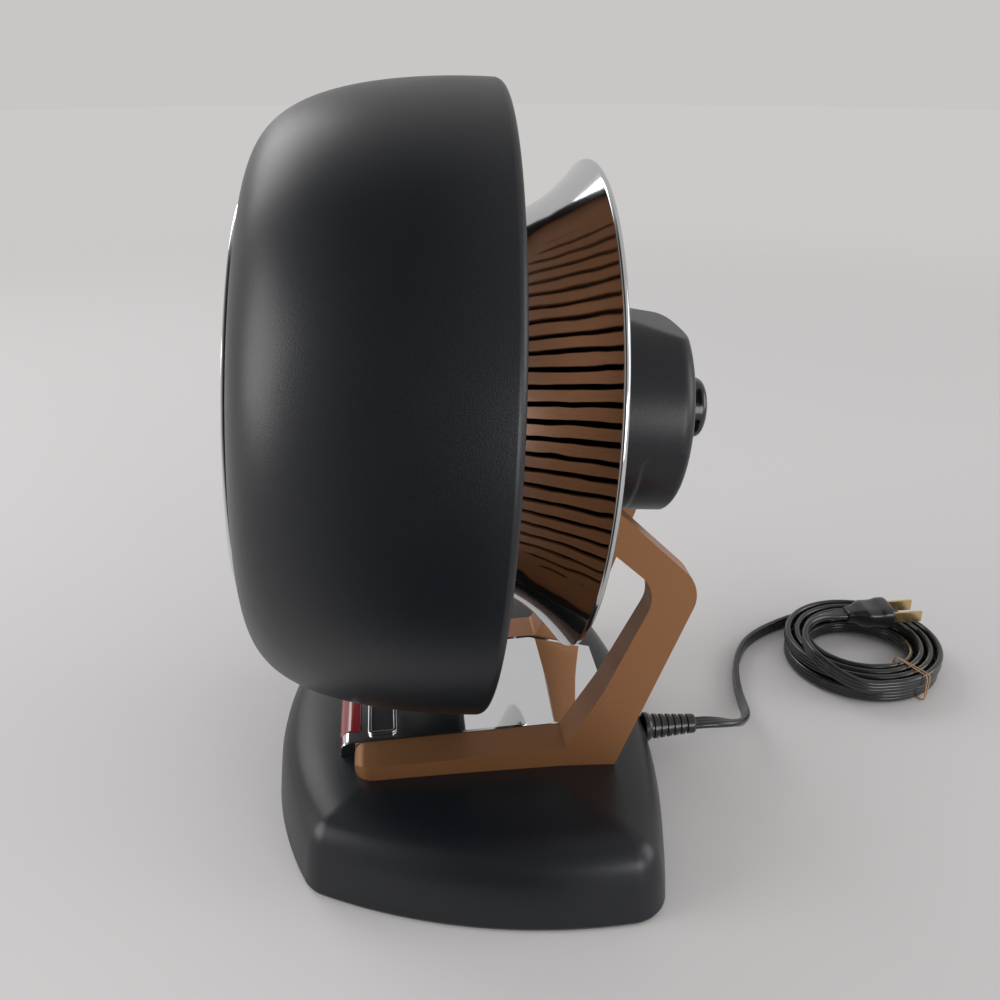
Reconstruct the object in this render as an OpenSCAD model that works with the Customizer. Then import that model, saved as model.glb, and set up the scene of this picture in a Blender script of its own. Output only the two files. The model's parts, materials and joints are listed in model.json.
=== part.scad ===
/* [Head] */
// Upward tilt of the head as it stands, in degrees
head_tilt = 4; // [0:1:8]
// Height of the head's axis over the table, at the shell's rear rim
axis_h = 186; // [183:1:200]
// Outer radius of the shell
shell_r = 128; // [122:1:130]
// Depth of the shell along its axis
shell_depth = 94; // [92:1:104]
// Wall of the shell
shell_wall = 2.5; // [2:0.1:3.2]
// Radius of the shell's front mouth
mouth_r = 80; // [76:1:86]
// Wall of the air duct inside the shell
duct_wall = 2; // [1.6:0.1:2.6]
// Play between pieces that are pushed together
fit_gap = 0.2; // [0.15:0.05:0.3]

/* [Front grille] */
// Number of curved vanes in the front grille
vane_count = 28; // [18:1:36]
// Thickness of a vane
vane_t = 1.5; // [1.2:0.1:2]
// Depth of the vanes along the axis
vane_depth = 7; // [5:0.5:8]
// Radius of the round cap in the middle of the grille
grille_cap_r = 19; // [16:1:24]
// Depth of the chrome ring round the mouth
ring_depth = 5; // [4:0.5:6]

/* [Heating element] */
// Number of resistance wire rings
wire_rings = 6; // [4:1:7]
// Radius of the wound resistance wire
wire_r = 1.6; // [1.2:0.1:1.8]
// Number of mica spokes that carry the wire
spoke_count = 8; // [6:1:10]
// Thickness of a mica spoke
spoke_t = 1; // [0.8:0.1:1.2]
// Depth of the element along the axis
element_depth = 14; // [12:1:16]

/* [Fan] */
// Number of fan blades
blade_count = 5; // [4:1:7]
// Gap between the blade tips and the duct
tip_gap = 3; // [2:0.5:5]
// Pitch of the blades, in degrees
blade_pitch = 32; // [24:1:38]
// Thickness of a blade
blade_t = 1.6; // [1.2:0.1:2]
// Radius of the fan's hub
hub_r = 17; // [14:1:20]
// Radius of the motor's shaft
shaft_r = 3; // [2.5:0.25:4]
// Radius of the motor's can
motor_r = 31; // [27:1:34]
// Length of the motor's can
motor_len = 40; // [34:1:44]

/* [Rear] */
// Radius of the bell's rim
bell_rim_r = 101; // [97:1:104]
// Radius of the bell's throat
bell_throat_r = 76; // [74:0.5:80]
// Distance from the shell's rear rim back to the bell's rim
bell_reach = 36.5; // [33:0.5:40]
// Wall of the bell
bell_wall = 2.2; // [1.8:0.1:2.6]
// Number of slots in the copper inlet ring
slot_count = 64; // [48:4:80]
// Width of an inlet slot
slot_w = 3.3; // [2.4:0.1:3.6]
// Radius at which the inlet slots end
slot_end_r = 112; // [104:1:116]
// Radius of the motor housing
housing_r = 42.6; // [40:0.2:44]
// Distance from the shell's rear rim back to the housing's end face
housing_end = 82; // [78:1:92]
// Radius of the fluted knob
knob_r = 13; // [11:0.5:14]
// Length of the knob
knob_len = 13.5; // [10:0.5:15]
// Number of flutes round the knob
flute_count = 12; // [8:1:16]

/* [Yoke] */
// Distance from the middle to an arm's outer face
arm_out = 55; // [53:0.5:58]
// Thickness of an arm at the pivot
arm_t = 11.4; // [10:0.2:13]
// Width of a foot bar
foot_w = 18; // [16:0.5:20]
// Height of the tilt pivot over the table
pivot_h = 176; // [172:1:180]
// Radius of a pivot bolt's shank
pivot_r = 3; // [2.5:0.25:3.5]
// Running clearance round a shank or a spindle
run_gap = 0.06; // [0.04:0.01:0.09]

/* [Base] */
// Half width of the base at its widest
base_half_w = 112; // [106:1:116]
// Distance from the head's station to the front of the base
base_front = 98; // [94:1:100]
// Distance from the head's station to the back of the base
base_back = 81; // [78:1:86]
// Height of the base at its middle
base_h = 37.4; // [36:0.2:40]
// Wall of the base shell
base_wall = 2.6; // [2.2:0.1:3.2]
// Radius of a rubber foot
rubber_r = 8; // [6:0.5:10]
// Height of the chrome deck over the table
deck_h = 46.5; // [45:0.5:48]
// Sheet thickness of the deck
deck_t = 1.4; // [1:0.1:1.8]

/* [Cord] */
// Width of the flat cord
cord_w = 7.4; // [7:0.1:7.4]
// Thickness of the flat cord
cord_t = 4.4; // [4:0.1:4.4]
// Middle radius of the coil's outer turn
coil_out_r = 43.5; // [43:0.5:45]
// Distance from turn to turn
turn_step = 5; // [4.9:0.1:5.4]
// Distance from layer to layer
layer_step = 7.9; // [7.9:0.1:8.2]
// Turns in each layer of the coil
coil_turns = 3; // [2:1:3]
// Length of the strain relief outside the base
gland_len = 22; // [20:1:24]

/* [Hidden] */

black = "#24272a";
chrome = "#d5d8db";
copper = "#b4764a";

// The shell's outline is a superellipse: these powers round its front shoulder
shoulder_along = 1.85;
shoulder_across = 9;
shell_steps = 20;
function shoulder_end(r) = acos(pow(mouth_r / r, shoulder_across / 2));

// Stations along the head's axis: 0 is the shell's rear rim, positive is rearwards
mouth_edge = -shell_depth * pow(sin(shoulder_end(shell_r)), 2 / shoulder_along);
ring_front = mouth_edge - 1.5;
grille_back = ring_front + 1.2 + vane_depth;
duct_r = mouth_r - duct_wall - fit_gap;
duct_front = grille_back + fit_gap;
duct_back = -16;
element_front = duct_front + 4;
element_back = element_front + element_depth;
fan_mid = -36;
fan_depth = 26;
guard_front = -12;
guard_depth = 8;
guard_back = guard_front + guard_depth;
motor_front = 2;
motor_back = motor_front + motor_len;
cap_front = 41;
knob_start = housing_end + 0.8;
knob_end = knob_start + knob_len;
housing_wall = 2.2;

// The table's frame is centred on the whole object, from the front ring to the knob
ring_lip = 0.6;
knob_chamfer = 2.4;
knob_z = 1.8;
front_reach = -ring_front * cos(head_tilt) + (mouth_r + ring_lip) * sin(head_tilt);
rear_reach = knob_end * cos(head_tilt) + (knob_z + knob_r - knob_chamfer) * sin(head_tilt);
head_y = (front_reach - rear_reach) / 2;

// A larger shell lifts the head, its pivots and the arms' knees clear of the deck
shell_clear = 8;
lift = max(0, deck_h + shell_r + shell_clear - axis_h);
axis_z = axis_h + lift;
pivot_z = pivot_h + lift;

// Places in the yoke, with y from the head's station and z from the table
arm_in = arm_out - arm_t;
foot_in = arm_out - foot_w;
pocket_z = base_h - 3.4;
foot_top = deck_h;
pivot_y = 24;
pivot_boss_r = 8;
washer_t = 0.9;
foot_front = -60;
foot_heel = 53;
bolt_head_t = 2.6;
bolt_head_r = 6;
base_rise = 1;

// Base outline: each edge is an arc that bows outwards
front_bow_r = 184;
back_bow_r = 360;
side_bow_r = 230;
side_bow_y = 38;
base_corner_r = 17;
base_section = [
    [base_rise, 0.7], [base_rise + 1.4, 0], [base_h - 17.4, 2.2], [base_h - 11, 4.2],
    [base_h - 7, 7], [base_h - 4.2, 11], [base_h - 2, 19], [base_h - 0.7, 33], [base_h, 48]
];
// The hollow under it ends one wall below the arms' pocket
hollow_top = pocket_z - base_wall;
hollow_section = [
    [base_rise + 1, base_wall], [hollow_top - 13, base_wall + 2.4],
    [hollow_top - 4, base_wall + 6], [hollow_top, base_wall + 12]
];
plate_t = 2;
foot_pad_t = base_rise + 1.6;
plate_z = foot_pad_t;
post_top = hollow_top + 1;
gland_seat = base_back - 3.6;
gland_flange_r = 7;
gland_body_r = 5;

// Deck places
deck_front = -66;
deck_crease = 28;
deck_back = 60;
deck_half = foot_in - fit_gap;
lens_half = deck_half - 8;
lens_back = -57;
badge_front = -54;
badge_back = -41;
badge_half = deck_half - 4;

// Cord places
gland_x = 14;
gland_z = 23;
coil_x = -62;
coil_y = 224;
coil_loops = 2 * coil_turns + 0.5;
coil_in_r = coil_out_r - turn_step * coil_loops / 2;
coil_fn = 24;
coil_end = coil_y - 6;
band_t = 0.7;
band_w = 3;
band_gap = 0.1;
table_z = cord_w / 2 + band_gap;
coil_z = table_z + band_t + band_gap;
top_z = coil_z + layer_step;
plug_len = 26;
plug_half_w = 10;
plug_half_t = 6.4;
plug_x = -75.5;
plug_y = 220;
plug_z = top_z + cord_w / 2 + plug_half_t + 0.3;
exit_y = base_back + gland_len;
// The lead leaves the strain relief, drops to the table and runs to the coil's outer turn
lead_route = [
    [gland_x, exit_y, gland_z], [gland_x, exit_y + 6, gland_z], [13.2, 116, 21.8], [10.4, 124, 18.8],
    [4.6, 131, 14.6], [-4, 136.4, 10.4], [-15, 140, 6.8], [-28, 142.6, 4.4], [-42, 145.4, table_z],
    [-56, 149.4, table_z], [-69, 155.4, table_z], [-81, 163.8, table_z], [-90.6, 175, table_z],
    [-98, 188, table_z], [-103.2, 201, 4.2], [coil_x - coil_out_r, 212, coil_z],
    [coil_x - coil_out_r, coil_end, coil_z]
];
// It leaves with its wide side level and turns on edge, in degrees at its first points
lead_roll = [90, 90, 82, 64, 40, 18, 4];
// The tail leaves the coil's top layer, crosses over it and enters the plug
tail_route = [
    [coil_x + coil_out_r, coil_end, top_z], [coil_x + coil_out_r, 215, top_z],
    [-19.5, 207.6, top_z + 0.6], [-22.3, 200.8, top_z + 2.2], [-26.8, 194.8, top_z + 4.4],
    [-32.8, 190.3, top_z + 6.4], [-39.6, 187.5, top_z + 7.7], [-47, 186.5, top_z + 8.3],
    [-54.4, 187.5, top_z + 8.8], [-61.2, 190.3, top_z + 9.4], [-67.2, 194.8, top_z + 9.9],
    [-71.7, 200.8, top_z + 10.2], [-74.5, 207.6, plug_z], [plug_x, 215, plug_z],
    [plug_x, plug_y, plug_z]
];

function turned(p, a) = [p[0] * cos(a) - p[1] * sin(a), p[0] * sin(a) + p[1] * cos(a)];
function unit(v) = v / norm(v);
function sum(v, i = 0) = i >= len(v) ? 0 : v[i] + sum(v, i + 1);

// Points of a polygon whose corners [x, y, radius] are rounded with short arcs
function rounded(corners, steps = 5) = [
    for (i = [0 : len(corners) - 1])
        let (
            n = len(corners), c = corners[i], b = corners[(i + n - 1) % n], d = corners[(i + 1) % n],
            p = [c[0], c[1]], u = unit([b[0], b[1]] - p), v = unit([d[0], d[1]] - p),
            half = acos(u * v) / 2, r = c[2], m = unit(u + v), q = p + m * r / sin(half),
            s = p + u * r / tan(half) - q, e = p + v * r / tan(half) - q,
            turn = atan2(s[0] * e[1] - s[1] * e[0], s * e)
        )
        each (r <= 0 ? [p] : [for (k = [0 : steps]) q + turned(s, turn * k / steps)])
];

// Outline of the shell's wall in radius and station, for a skin that lies inset under the outside
function shell_line(inset) = let (
        r = shell_r - inset, l = shell_depth - inset, last = shoulder_end(r)
    ) [
        for (i = [0 : shell_steps]) let (a = last * i / shell_steps)
            [r * pow(cos(a), 2 / shoulder_across), -l * pow(sin(a), 2 / shoulder_along)]
    ];
function reversed(v) = [for (i = [len(v) - 1 : -1 : 0]) v[i]];

// The bell's outside flares from the throat to the rim by a power of the way along it
bell_steps = 14;
bell_power = 2.8;
bell_front = -14;
bell_flare_r = bell_rim_r - 5;
bell_flare_end = bell_reach - 3.5;
function bell_r(y) = bell_throat_r
    + (bell_flare_r - bell_throat_r) * pow((y - bell_front) / (bell_flare_end - bell_front), bell_power);

// Frames of the head and of the stand, in the object's own frame
module head() translate([0, head_y, axis_z]) rotate([-head_tilt, 0, 0]) children();
module stand() translate([0, head_y, 0]) children();
// Turns a shape made round Z so that it lies round the head's axis
module on_axis() rotate([-90, 0, 0]) children();
module spun(points) on_axis() rotate_extrude($fn = 120) polygon(points);
module disc(r, y, depth) on_axis() translate([0, 0, y]) cylinder(r = r, h = depth, $fn = 96);
module pipe(r_out, r_in, y, depth) on_axis() translate([0, 0, y]) difference() {
    cylinder(r = r_out, h = depth, $fn = 120);
    translate([0, 0, -1]) cylinder(r = r_in, h = depth + 2, $fn = 120);
}
// The tilt pivot's place in the head's own frame
pivot_in_head = [
    0,
    pivot_y * cos(head_tilt) - (pivot_z - axis_z) * sin(head_tilt),
    pivot_y * sin(head_tilt) + (pivot_z - axis_z) * cos(head_tilt)
];

// The flat cord swept along points, on edge where its roll is 0, closed with flat ends
function path_dir(p, i) = unit(p[min(i + 1, len(p) - 1)] - p[max(i - 1, 0)]);
module flat_cord(p, sides, roll = []) {
    start = sides > 6 ? 0.5 : 0;
    half_w = cord_w / 2 / cos(start * 360 / sides);
    half_t = cord_t / 2 / cos(start * 360 / sides + (sides > 6 ? 0 : 30));
    rings = [
        for (i = [0 : len(p) - 1])
            let (
                t = path_dir(p, i), s = unit(cross(t, [0, 0, 1])), u = cross(s, t),
                q = i < len(roll) ? roll[i] : 0, wide = cos(q) * u + sin(q) * s,
                thin = sin(q) * u - cos(q) * s
            )
            for (k = [0 : sides - 1]) let (a = 360 * (k + start) / sides)
                p[i] + half_w * cos(a) * wide + half_t * sin(a) * thin
    ];
    last = (len(p) - 1) * sides;
    polyhedron(points = rings, faces = concat(
        [[for (k = [sides - 1 : -1 : 0]) k]],
        [[for (k = [0 : sides - 1]) last + k]],
        [for (i = [0 : len(p) - 2]) for (k = [0 : sides - 1]) let (
            a = i * sides + k, b = i * sides + (k + 1) % sides)
            each [[a, b, b + sides], [a, b + sides, a + sides]]]
    ));
}

// Head: the black shell, open in front round the mouth and behind
module drum_shell() color(black) head() spun(concat(
    [[shell_r - shell_wall, 1], [shell_r - 0.8, 1], [shell_r, 0]],
    [for (i = [1 : shell_steps]) shell_line(0)[i]],
    reversed(shell_line(shell_wall))
));

// The chrome ring clips round the mouth's edge
module front_ring() color(chrome) head() spun([
    [mouth_r - 3, ring_front + 0.6], [mouth_r - 2, ring_front], [mouth_r + ring_lip, ring_front],
    [mouth_r + 2 * ring_lip, ring_front + 0.6], [mouth_r + 2 * ring_lip, ring_front + 1.2],
    [mouth_r - fit_gap, ring_front + 1.4], [mouth_r - fit_gap, ring_front + ring_depth],
    [mouth_r - 3, ring_front + ring_depth]
]);

// Curved vanes of the grille run from the middle ring to the outer ring
grille_r = mouth_r - 3 - fit_gap;
vane_sweep_r = 62;
module vane() intersection() {
    difference() {
        translate([0, vane_sweep_r]) circle(r = vane_sweep_r + vane_t / 2, $fn = 120);
        translate([0, vane_sweep_r]) circle(r = vane_sweep_r - vane_t / 2, $fn = 120);
    }
    square([grille_r - 0.8, vane_sweep_r]);
    circle(r = grille_r - 0.8, $fn = 96);
}
module front_grille() color(chrome) head() on_axis() translate([0, 0, ring_front + 1.2]) difference() {
    linear_extrude(vane_depth) union() {
        difference() {
            circle(r = grille_r, $fn = 120);
            circle(r = grille_r - 2, $fn = 120);
        }
        difference() {
            circle(r = grille_cap_r + 2, $fn = 96);
            circle(r = grille_cap_r - 2, $fn = 96);
        }
        difference() {
            circle(r = (grille_r + grille_cap_r) / 2 + 1.7, $fn = 120);
            circle(r = (grille_r + grille_cap_r) / 2, $fn = 120);
        }
        for (i = [0 : vane_count - 1]) rotate(i * 360 / vane_count) vane();
    }
    translate([0, 0, -1]) cylinder(r = grille_cap_r, h = vane_depth, $fn = 96);
}

// The round cap closes the middle of the grille
module grille_cap() color(chrome) head() spun([
    [0, ring_front - 0.2], [grille_cap_r * 0.6, ring_front], [grille_cap_r - 2, ring_front + 0.8],
    [grille_cap_r - fit_gap, ring_front + 2], [grille_cap_r - fit_gap, ring_front + vane_depth],
    [0, ring_front + vane_depth]
]);

// The duct guides the air from the fan to the mouth and carries the element
duct_flange_r = max(bell_throat_r + 6, duct_r + duct_wall);
duct_flange_in = min(duct_r, bell_throat_r + 2);
duct_flange_t = 1.8;
module air_duct() color("#3a3d40") head() difference() {
    union() {
        pipe(duct_r + duct_wall, duct_r, duct_front, duct_back - duct_front);
        pipe(duct_flange_r, duct_flange_in, duct_back - duct_flange_t, duct_flange_t);
    }
    for (a = [45 : 90 : 315]) rotate([0, a, 0])
        translate([duct_r - 1, element_back - 1 - spoke_t, -spoke_t])
            cube([duct_wall + 2, spoke_t * 2, spoke_t * 2]);
}

// Mica spokes stand radially in the duct and are notched for the wire
spoke_in = 8;
function wire_ring_r(i) = spoke_in + 12 + i * (duct_r - 28) / (wire_rings - 1);
module element_spokes() color("#cfc4a6") head() difference() {
    union() {
        for (i = [0 : spoke_count - 1]) rotate([0, i * 360 / spoke_count, 0])
            translate([spoke_in, element_front, -spoke_t / 2])
                cube([duct_r - fit_gap - spoke_in, element_depth, spoke_t]);
        pipe(spoke_in + 1, spoke_in - 1, element_front, element_depth);
    }
    for (i = [0 : wire_rings - 1]) spun_ring(wire_ring_r(i), wire_r + fit_gap);
}
module spun_ring(r, rw) on_axis() translate([0, 0, element_front + element_depth / 2])
    rotate_extrude($fn = 120) translate([r, 0]) circle(r = rw, $fn = 20);

// Wound resistance wire, one ring in each row of notches
module element_wire() color("#9a8f86") head()
    for (i = [0 : wire_rings - 1]) spun_ring(wire_ring_r(i), wire_r);

// The thermal cut-out sits on the back of the element's middle ring
module thermal_cutout() color("#d8d2c4") head() difference() {
    disc(spoke_in + 3, element_back + 0.1, 5);
    disc(2, element_back - 1, 3);
}

// Cambered blades stand round the hub and clear the duct at their tips
blade_tip_r = duct_r - tip_gap;
module blade() intersection() {
    translate([hub_r - 1, 0, 0]) rotate([0, 90, 0]) rotate([0, 0, blade_pitch])
        linear_extrude(blade_tip_r - hub_r + 1) translate([-46, 0]) intersection() {
            difference() {
                circle(r = 46 + blade_t / 2, $fn = 120);
                circle(r = 46 - blade_t / 2, $fn = 120);
            }
            translate([40, -19]) square([10, 38]);
        }
    cylinder(r = blade_tip_r, h = 60, center = true, $fn = 96);
    translate([0, 0, -fan_depth / 2]) cylinder(r = 200, h = fan_depth, $fn = 32);
}
module fan() color("#2f3234") head() on_axis() translate([0, 0, fan_mid]) difference() {
    union() {
        for (i = [0 : blade_count - 1]) rotate(i * 360 / blade_count) blade();
        translate([0, 0, -fan_depth / 2]) cylinder(r = hub_r, h = fan_depth, $fn = 64);
    }
    translate([0, 0, -fan_depth]) cylinder(r = shaft_r, h = 2 * fan_depth, $fn = 48);
    translate([0, 0, -fan_depth / 2 - 1]) cylinder(r = hub_r - 3, h = 7, $fn = 64);
}

// The nut holds the fan on the shaft
module fan_nut() color("silver") head() on_axis()
    translate([0, 0, fan_mid - fan_depth / 2 + 2]) difference() {
        cylinder(r = shaft_r + 3, h = 4, $fn = 6);
        translate([0, 0, -1]) cylinder(r = shaft_r, h = 6, $fn = 48);
    }

// The shaft runs through the motor's two bearings
module motor_shaft() color("#b8bbbe") head() on_axis()
    translate([0, 0, fan_mid - fan_depth / 2]) cylinder(r = shaft_r,
        h = motor_back + 3 - fan_mid + fan_depth / 2, $fn = 48);

// The motor's can with a bearing boss at each end
module motor_can() color("#8d9093") head() difference() {
    union() {
        disc(motor_r, motor_front, motor_len);
        disc(8, motor_front - 5, 6);
        disc(8, motor_back - 1, 3);
    }
    disc(shaft_r + run_gap, motor_front - 6, motor_len + 12);
}

// The guard's spokes hold the motor housing in the middle of the bell's throat
guard_r = bell_throat_r - bell_wall - fit_gap;
guard_bars = 36;
module guard_hoop(r, w, t) pipe(r + w / 2, r - w / 2, guard_front + 2, t);
module rear_guard() color(black) head() difference() {
    union() {
        pipe(guard_r, guard_r - 2.4, guard_front, guard_depth);
        pipe(housing_r + 2.4, housing_r - 6, guard_front, guard_depth);
        guard_hoop(housing_r + 12, 1.8, 3);
        guard_hoop(housing_r + 21, 1.8, 3);
        for (i = [0 : guard_bars - 1]) rotate([0, i * 360 / guard_bars, 0])
            translate([housing_r + 1, guard_front + 2, -0.9]) cube([guard_r - housing_r - 2, 4, 1.8]);
    }
    disc(housing_r + fit_gap, guard_back - 3, 5);
}

// The copper ring fills the shell's back round the bell and is slotted for air
ring_seat_r = shell_r - shell_wall - 3 * fit_gap;
ring_y = -5.5;
ring_t = 2;
ring_skirt = 4;
slot_start_r = bell_throat_r + 10;
module slot() translate([0, 0, -5]) linear_extrude(12) union() {
    translate([slot_start_r + slot_w / 2, -slot_w / 2]) square([slot_end_r - slot_start_r - slot_w, slot_w]);
    translate([slot_start_r + slot_w / 2, 0]) circle(r = slot_w / 2, $fn = 24);
    translate([slot_end_r - slot_w / 2, 0]) circle(r = slot_w / 2, $fn = 24);
}
module inlet_ring() color(copper) head() difference() {
    union() {
        pipe(ring_seat_r, bell_r(ring_y + ring_t) + fit_gap, ring_y, ring_t);
        pipe(ring_seat_r, ring_seat_r - ring_t, ring_y - ring_skirt, ring_skirt);
        pipe(bell_throat_r + 5.6, bell_throat_r + 3.6, duct_back + fit_gap, ring_y - duct_back - fit_gap);
    }
    on_axis() translate([0, 0, ring_y]) for (i = [0 : slot_count - 1])
        rotate((i + 0.5) * 360 / slot_count) slot();
}

// The chrome bell flares from the throat to a rolled rim
bell_out = [for (i = [0 : bell_steps]) let (y = bell_front + i * (bell_flare_end - bell_front) / bell_steps)
    [bell_r(y), y]];
module rear_bell() color(chrome) head() spun(concat(
    bell_out,
    [[bell_rim_r - 3.9, bell_reach - 2.5], [bell_rim_r - 2.5, bell_reach - 1.4],
        [bell_rim_r - 1.1, bell_reach - 0.4], [bell_rim_r - 0.3, bell_reach + 0.6],
        [bell_rim_r, bell_reach + 1.6], [bell_rim_r - 0.4, bell_reach + 2.5],
        [bell_rim_r - 1.3, bell_reach + 2.8], [bell_rim_r - 2.4, bell_reach + 2.4],
        [bell_rim_r - 3.4, bell_reach + 1.4], [bell_rim_r - 5.2, bell_reach - 0.4]],
    [for (p = reversed(bell_out)) [p[0] - bell_wall, p[1] + bell_wall * (p[1] - bell_front) / 90]]
));

// The housing carries the motor, the pivots and the rear cap
module pivot_boss(side) translate(pivot_in_head) rotate([0, 90 * side, 0])
    translate([0, 0, motor_r + 1.5])
        cylinder(r = pivot_boss_r, h = arm_in - washer_t - run_gap - motor_r - 1.5, $fn = 48);
module pivot_bore(r) translate(pivot_in_head) rotate([0, 90, 0])
    cylinder(r = r, h = 200, center = true, $fn = 48);
// Two screws pass through lugs in the cap's skirt into bosses in the housing
cap_screw_x = motor_r + 5.6;
cap_screw_z = 8;
cap_screw_r = 1.6;
cap_boss_len = 10;
cap_lug_t = 2.4;
module at_cap_screws() for (side = [-1, 1]) translate([side * cap_screw_x, 0, cap_screw_z]) children();
module motor_housing() color(black) head() difference() {
    union() {
        disc(housing_r, guard_back - 3, cap_front - guard_back + 3);
        pivot_boss(1);
        pivot_boss(-1);
    }
    disc(motor_r + fit_gap, motor_front, 100);
    disc(8 + fit_gap, guard_front, 20);
    difference() {
        disc(housing_r - housing_wall, motor_front + 6, 100);
        disc(motor_r + 1.5, 0, 100);
        for (side = [-1, 1]) pivot_boss(side);
        at_cap_screws() disc(cap_screw_r + 2.4, cap_front - cap_boss_len, cap_boss_len + 1);
    }
    at_cap_screws() disc(cap_screw_r + 0.1, cap_front - cap_boss_len + 1, cap_boss_len);
    // The bolt holes stop short of the motor
    difference() {
        pivot_bore(pivot_r + run_gap);
        translate([-motor_r - 2, 0, -40]) cube([2 * motor_r + 4, 60, 80]);
    }
}

// The cap covers the motor's back: its top is a sloped flat and its underside is set back
cap_r = housing_r + 1.2;
cap_round = 8;
flat_start = 50;
flat_drop = 6.7;
recess_front = 65;
recess_top = -11;
cap_cut = 2 * cap_r + 4;
module cap_side_recess(depth) difference() {
    translate([-cap_cut / 2, recess_front, recess_top - cap_cut]) cube([cap_cut, cap_cut, cap_cut]);
    disc(cap_r - depth, recess_front - 1, 2 * cap_cut);
}
module cap_form(inset, front) difference() {
    spun(concat(
        [[0, front], [cap_r - inset, front]],
        [for (a = [0 : 10 : 90]) [cap_r - cap_round + (cap_round - inset) * cos(a),
            housing_end - cap_round + (cap_round - inset) * sin(a)]],
        [[0, housing_end - inset]]
    ));
    translate([0, flat_start, cap_r - inset]) rotate([-atan(flat_drop / (housing_end - flat_start)), 0, 0])
        translate([-cap_cut / 2, -cap_cut, 0]) cube([cap_cut, 2 * cap_cut, cap_cut]);
}
spindle_r = 3;
// The spindle stands a little above the head's axis
module at_knob() translate([0, 0, knob_z]) children();
rocker_z = -23;
rocker_w = 19;
rocker_h = 12;
module rear_cap() color(black) head() difference() {
    union() {
        difference() {
            cap_form(0, cap_front);
            cap_form(housing_wall, cap_front - 1);
        }
        at_cap_screws() disc(cap_screw_r + 2.8, cap_front, cap_lug_t);
    }
    at_cap_screws() disc(cap_screw_r + 0.2, cap_front - 1, cap_lug_t + 2);
    cap_side_recess(0.8);
    at_knob() disc(spindle_r + 1.4, housing_end - 10, 20);
    translate([-rocker_w / 2 - 1, housing_end - 10, rocker_z - rocker_h / 2 - 1])
        cube([rocker_w + 2, 20, rocker_h + 2]);
}

module cap_screws() color("#55585b") head() at_cap_screws() union() {
    disc(cap_screw_r, cap_front - cap_boss_len + 4, cap_boss_len - 4 + cap_lug_t);
    disc(cap_screw_r + 1.4, cap_front + cap_lug_t, 2.2);
}

// The fluted knob turns the thermostat's spindle
module control_knob() color("#1c1e20") head() at_knob() difference() {
    union() {
        spun([
            [0, knob_start], [knob_r, knob_start], [knob_r, knob_end - knob_chamfer],
            [knob_r - 0.7, knob_end - 0.8], [knob_r - knob_chamfer, knob_end], [0, knob_end]
        ]);
        disc(spindle_r, housing_end - 12, 13);
    }
    on_axis() for (i = [0 : flute_count - 1]) rotate(i * 360 / flute_count)
        translate([knob_r + 0.9, 0, knob_start + 2.6]) cylinder(r = 2.2, h = knob_len, $fn = 24);
}

// The rocker for the heat setting turns on a pin in its frame
module rocker_switch() color("#1c1e20") head() translate([0, housing_end + 0.4, rocker_z]) difference() {
    union() {
        intersection() {
            translate([-rocker_w / 2 + 1.6, -7, -rocker_h / 2 + 1.6])
                cube([rocker_w - 3.2, 10, rocker_h - 3.2]);
            translate([0, -16, 0]) rotate([90, 0, 0]) cylinder(r = 40, h = 60, center = true, $fn = 64);
            translate([0, 25.6, 0]) difference() {
                translate([-50, -50, -20]) cube([100, 60, 40]);
                cylinder(r = 25, h = 60, center = true, $fn = 96);
            }
        }
        translate([0, -4, 0]) cylinder(r = 1.5, h = rocker_h - 0.6, center = true, $fn = 32);
    }
}
module rocker_frame() color("#1c1e20") head() translate([0, housing_end, rocker_z]) difference() {
    translate([-rocker_w / 2 - 0.8, -9, -rocker_h / 2 - 0.8]) cube([rocker_w + 1.6, 9.6, rocker_h + 1.6]);
    translate([-rocker_w / 2 + 0.8, -8, -rocker_h / 2 + 0.9]) cube([rocker_w - 1.6, 12, rocker_h - 1.8]);
    translate([0, -3.6, 0]) cylinder(r = 1.5 + run_gap, h = rocker_h + 0.2, center = true, $fn = 32);
}

// The thermostat hangs behind the cap's end face on its bush
module thermostat() color("#c9b27c") head() at_knob() difference() {
    union() {
        translate([-11, housing_end - housing_wall - 16, -11]) cube([22, 16 - 0.2, 22]);
        disc(spindle_r + 1.2, housing_end - housing_wall - 1, housing_wall + 1);
    }
    disc(spindle_r + run_gap, housing_end - 12.4, 20);
}

// Pivot bolts are threaded into the housing and turn in the arms
module pivot_bolt(side) translate([0, pivot_y, pivot_z]) rotate([0, 90 * side, 0]) union() {
    translate([0, 0, motor_r + 2.4]) cylinder(r = pivot_r, h = arm_out + 0.3 - motor_r - 2.4, $fn = 48);
    translate([0, 0, arm_out + 0.3]) cylinder(r = bolt_head_r, h = bolt_head_t, $fn = 48);
}
module pivot_bolts() color("#6a6d70") stand() for (side = [-1, 1]) pivot_bolt(side);

// A friction washer lies between each boss and its arm
module pivot_washers() color("#202224") stand() for (side = [-1, 1])
    translate([0, pivot_y, pivot_z]) rotate([0, 90 * side, 0]) translate([0, 0, arm_in - washer_t - run_gap])
        difference() {
            cylinder(r = pivot_boss_r - 0.5, h = washer_t, $fn = 48);
            translate([0, 0, -1]) cylinder(r = pivot_r + run_gap, h = washer_t + 2, $fn = 48);
        }

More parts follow.
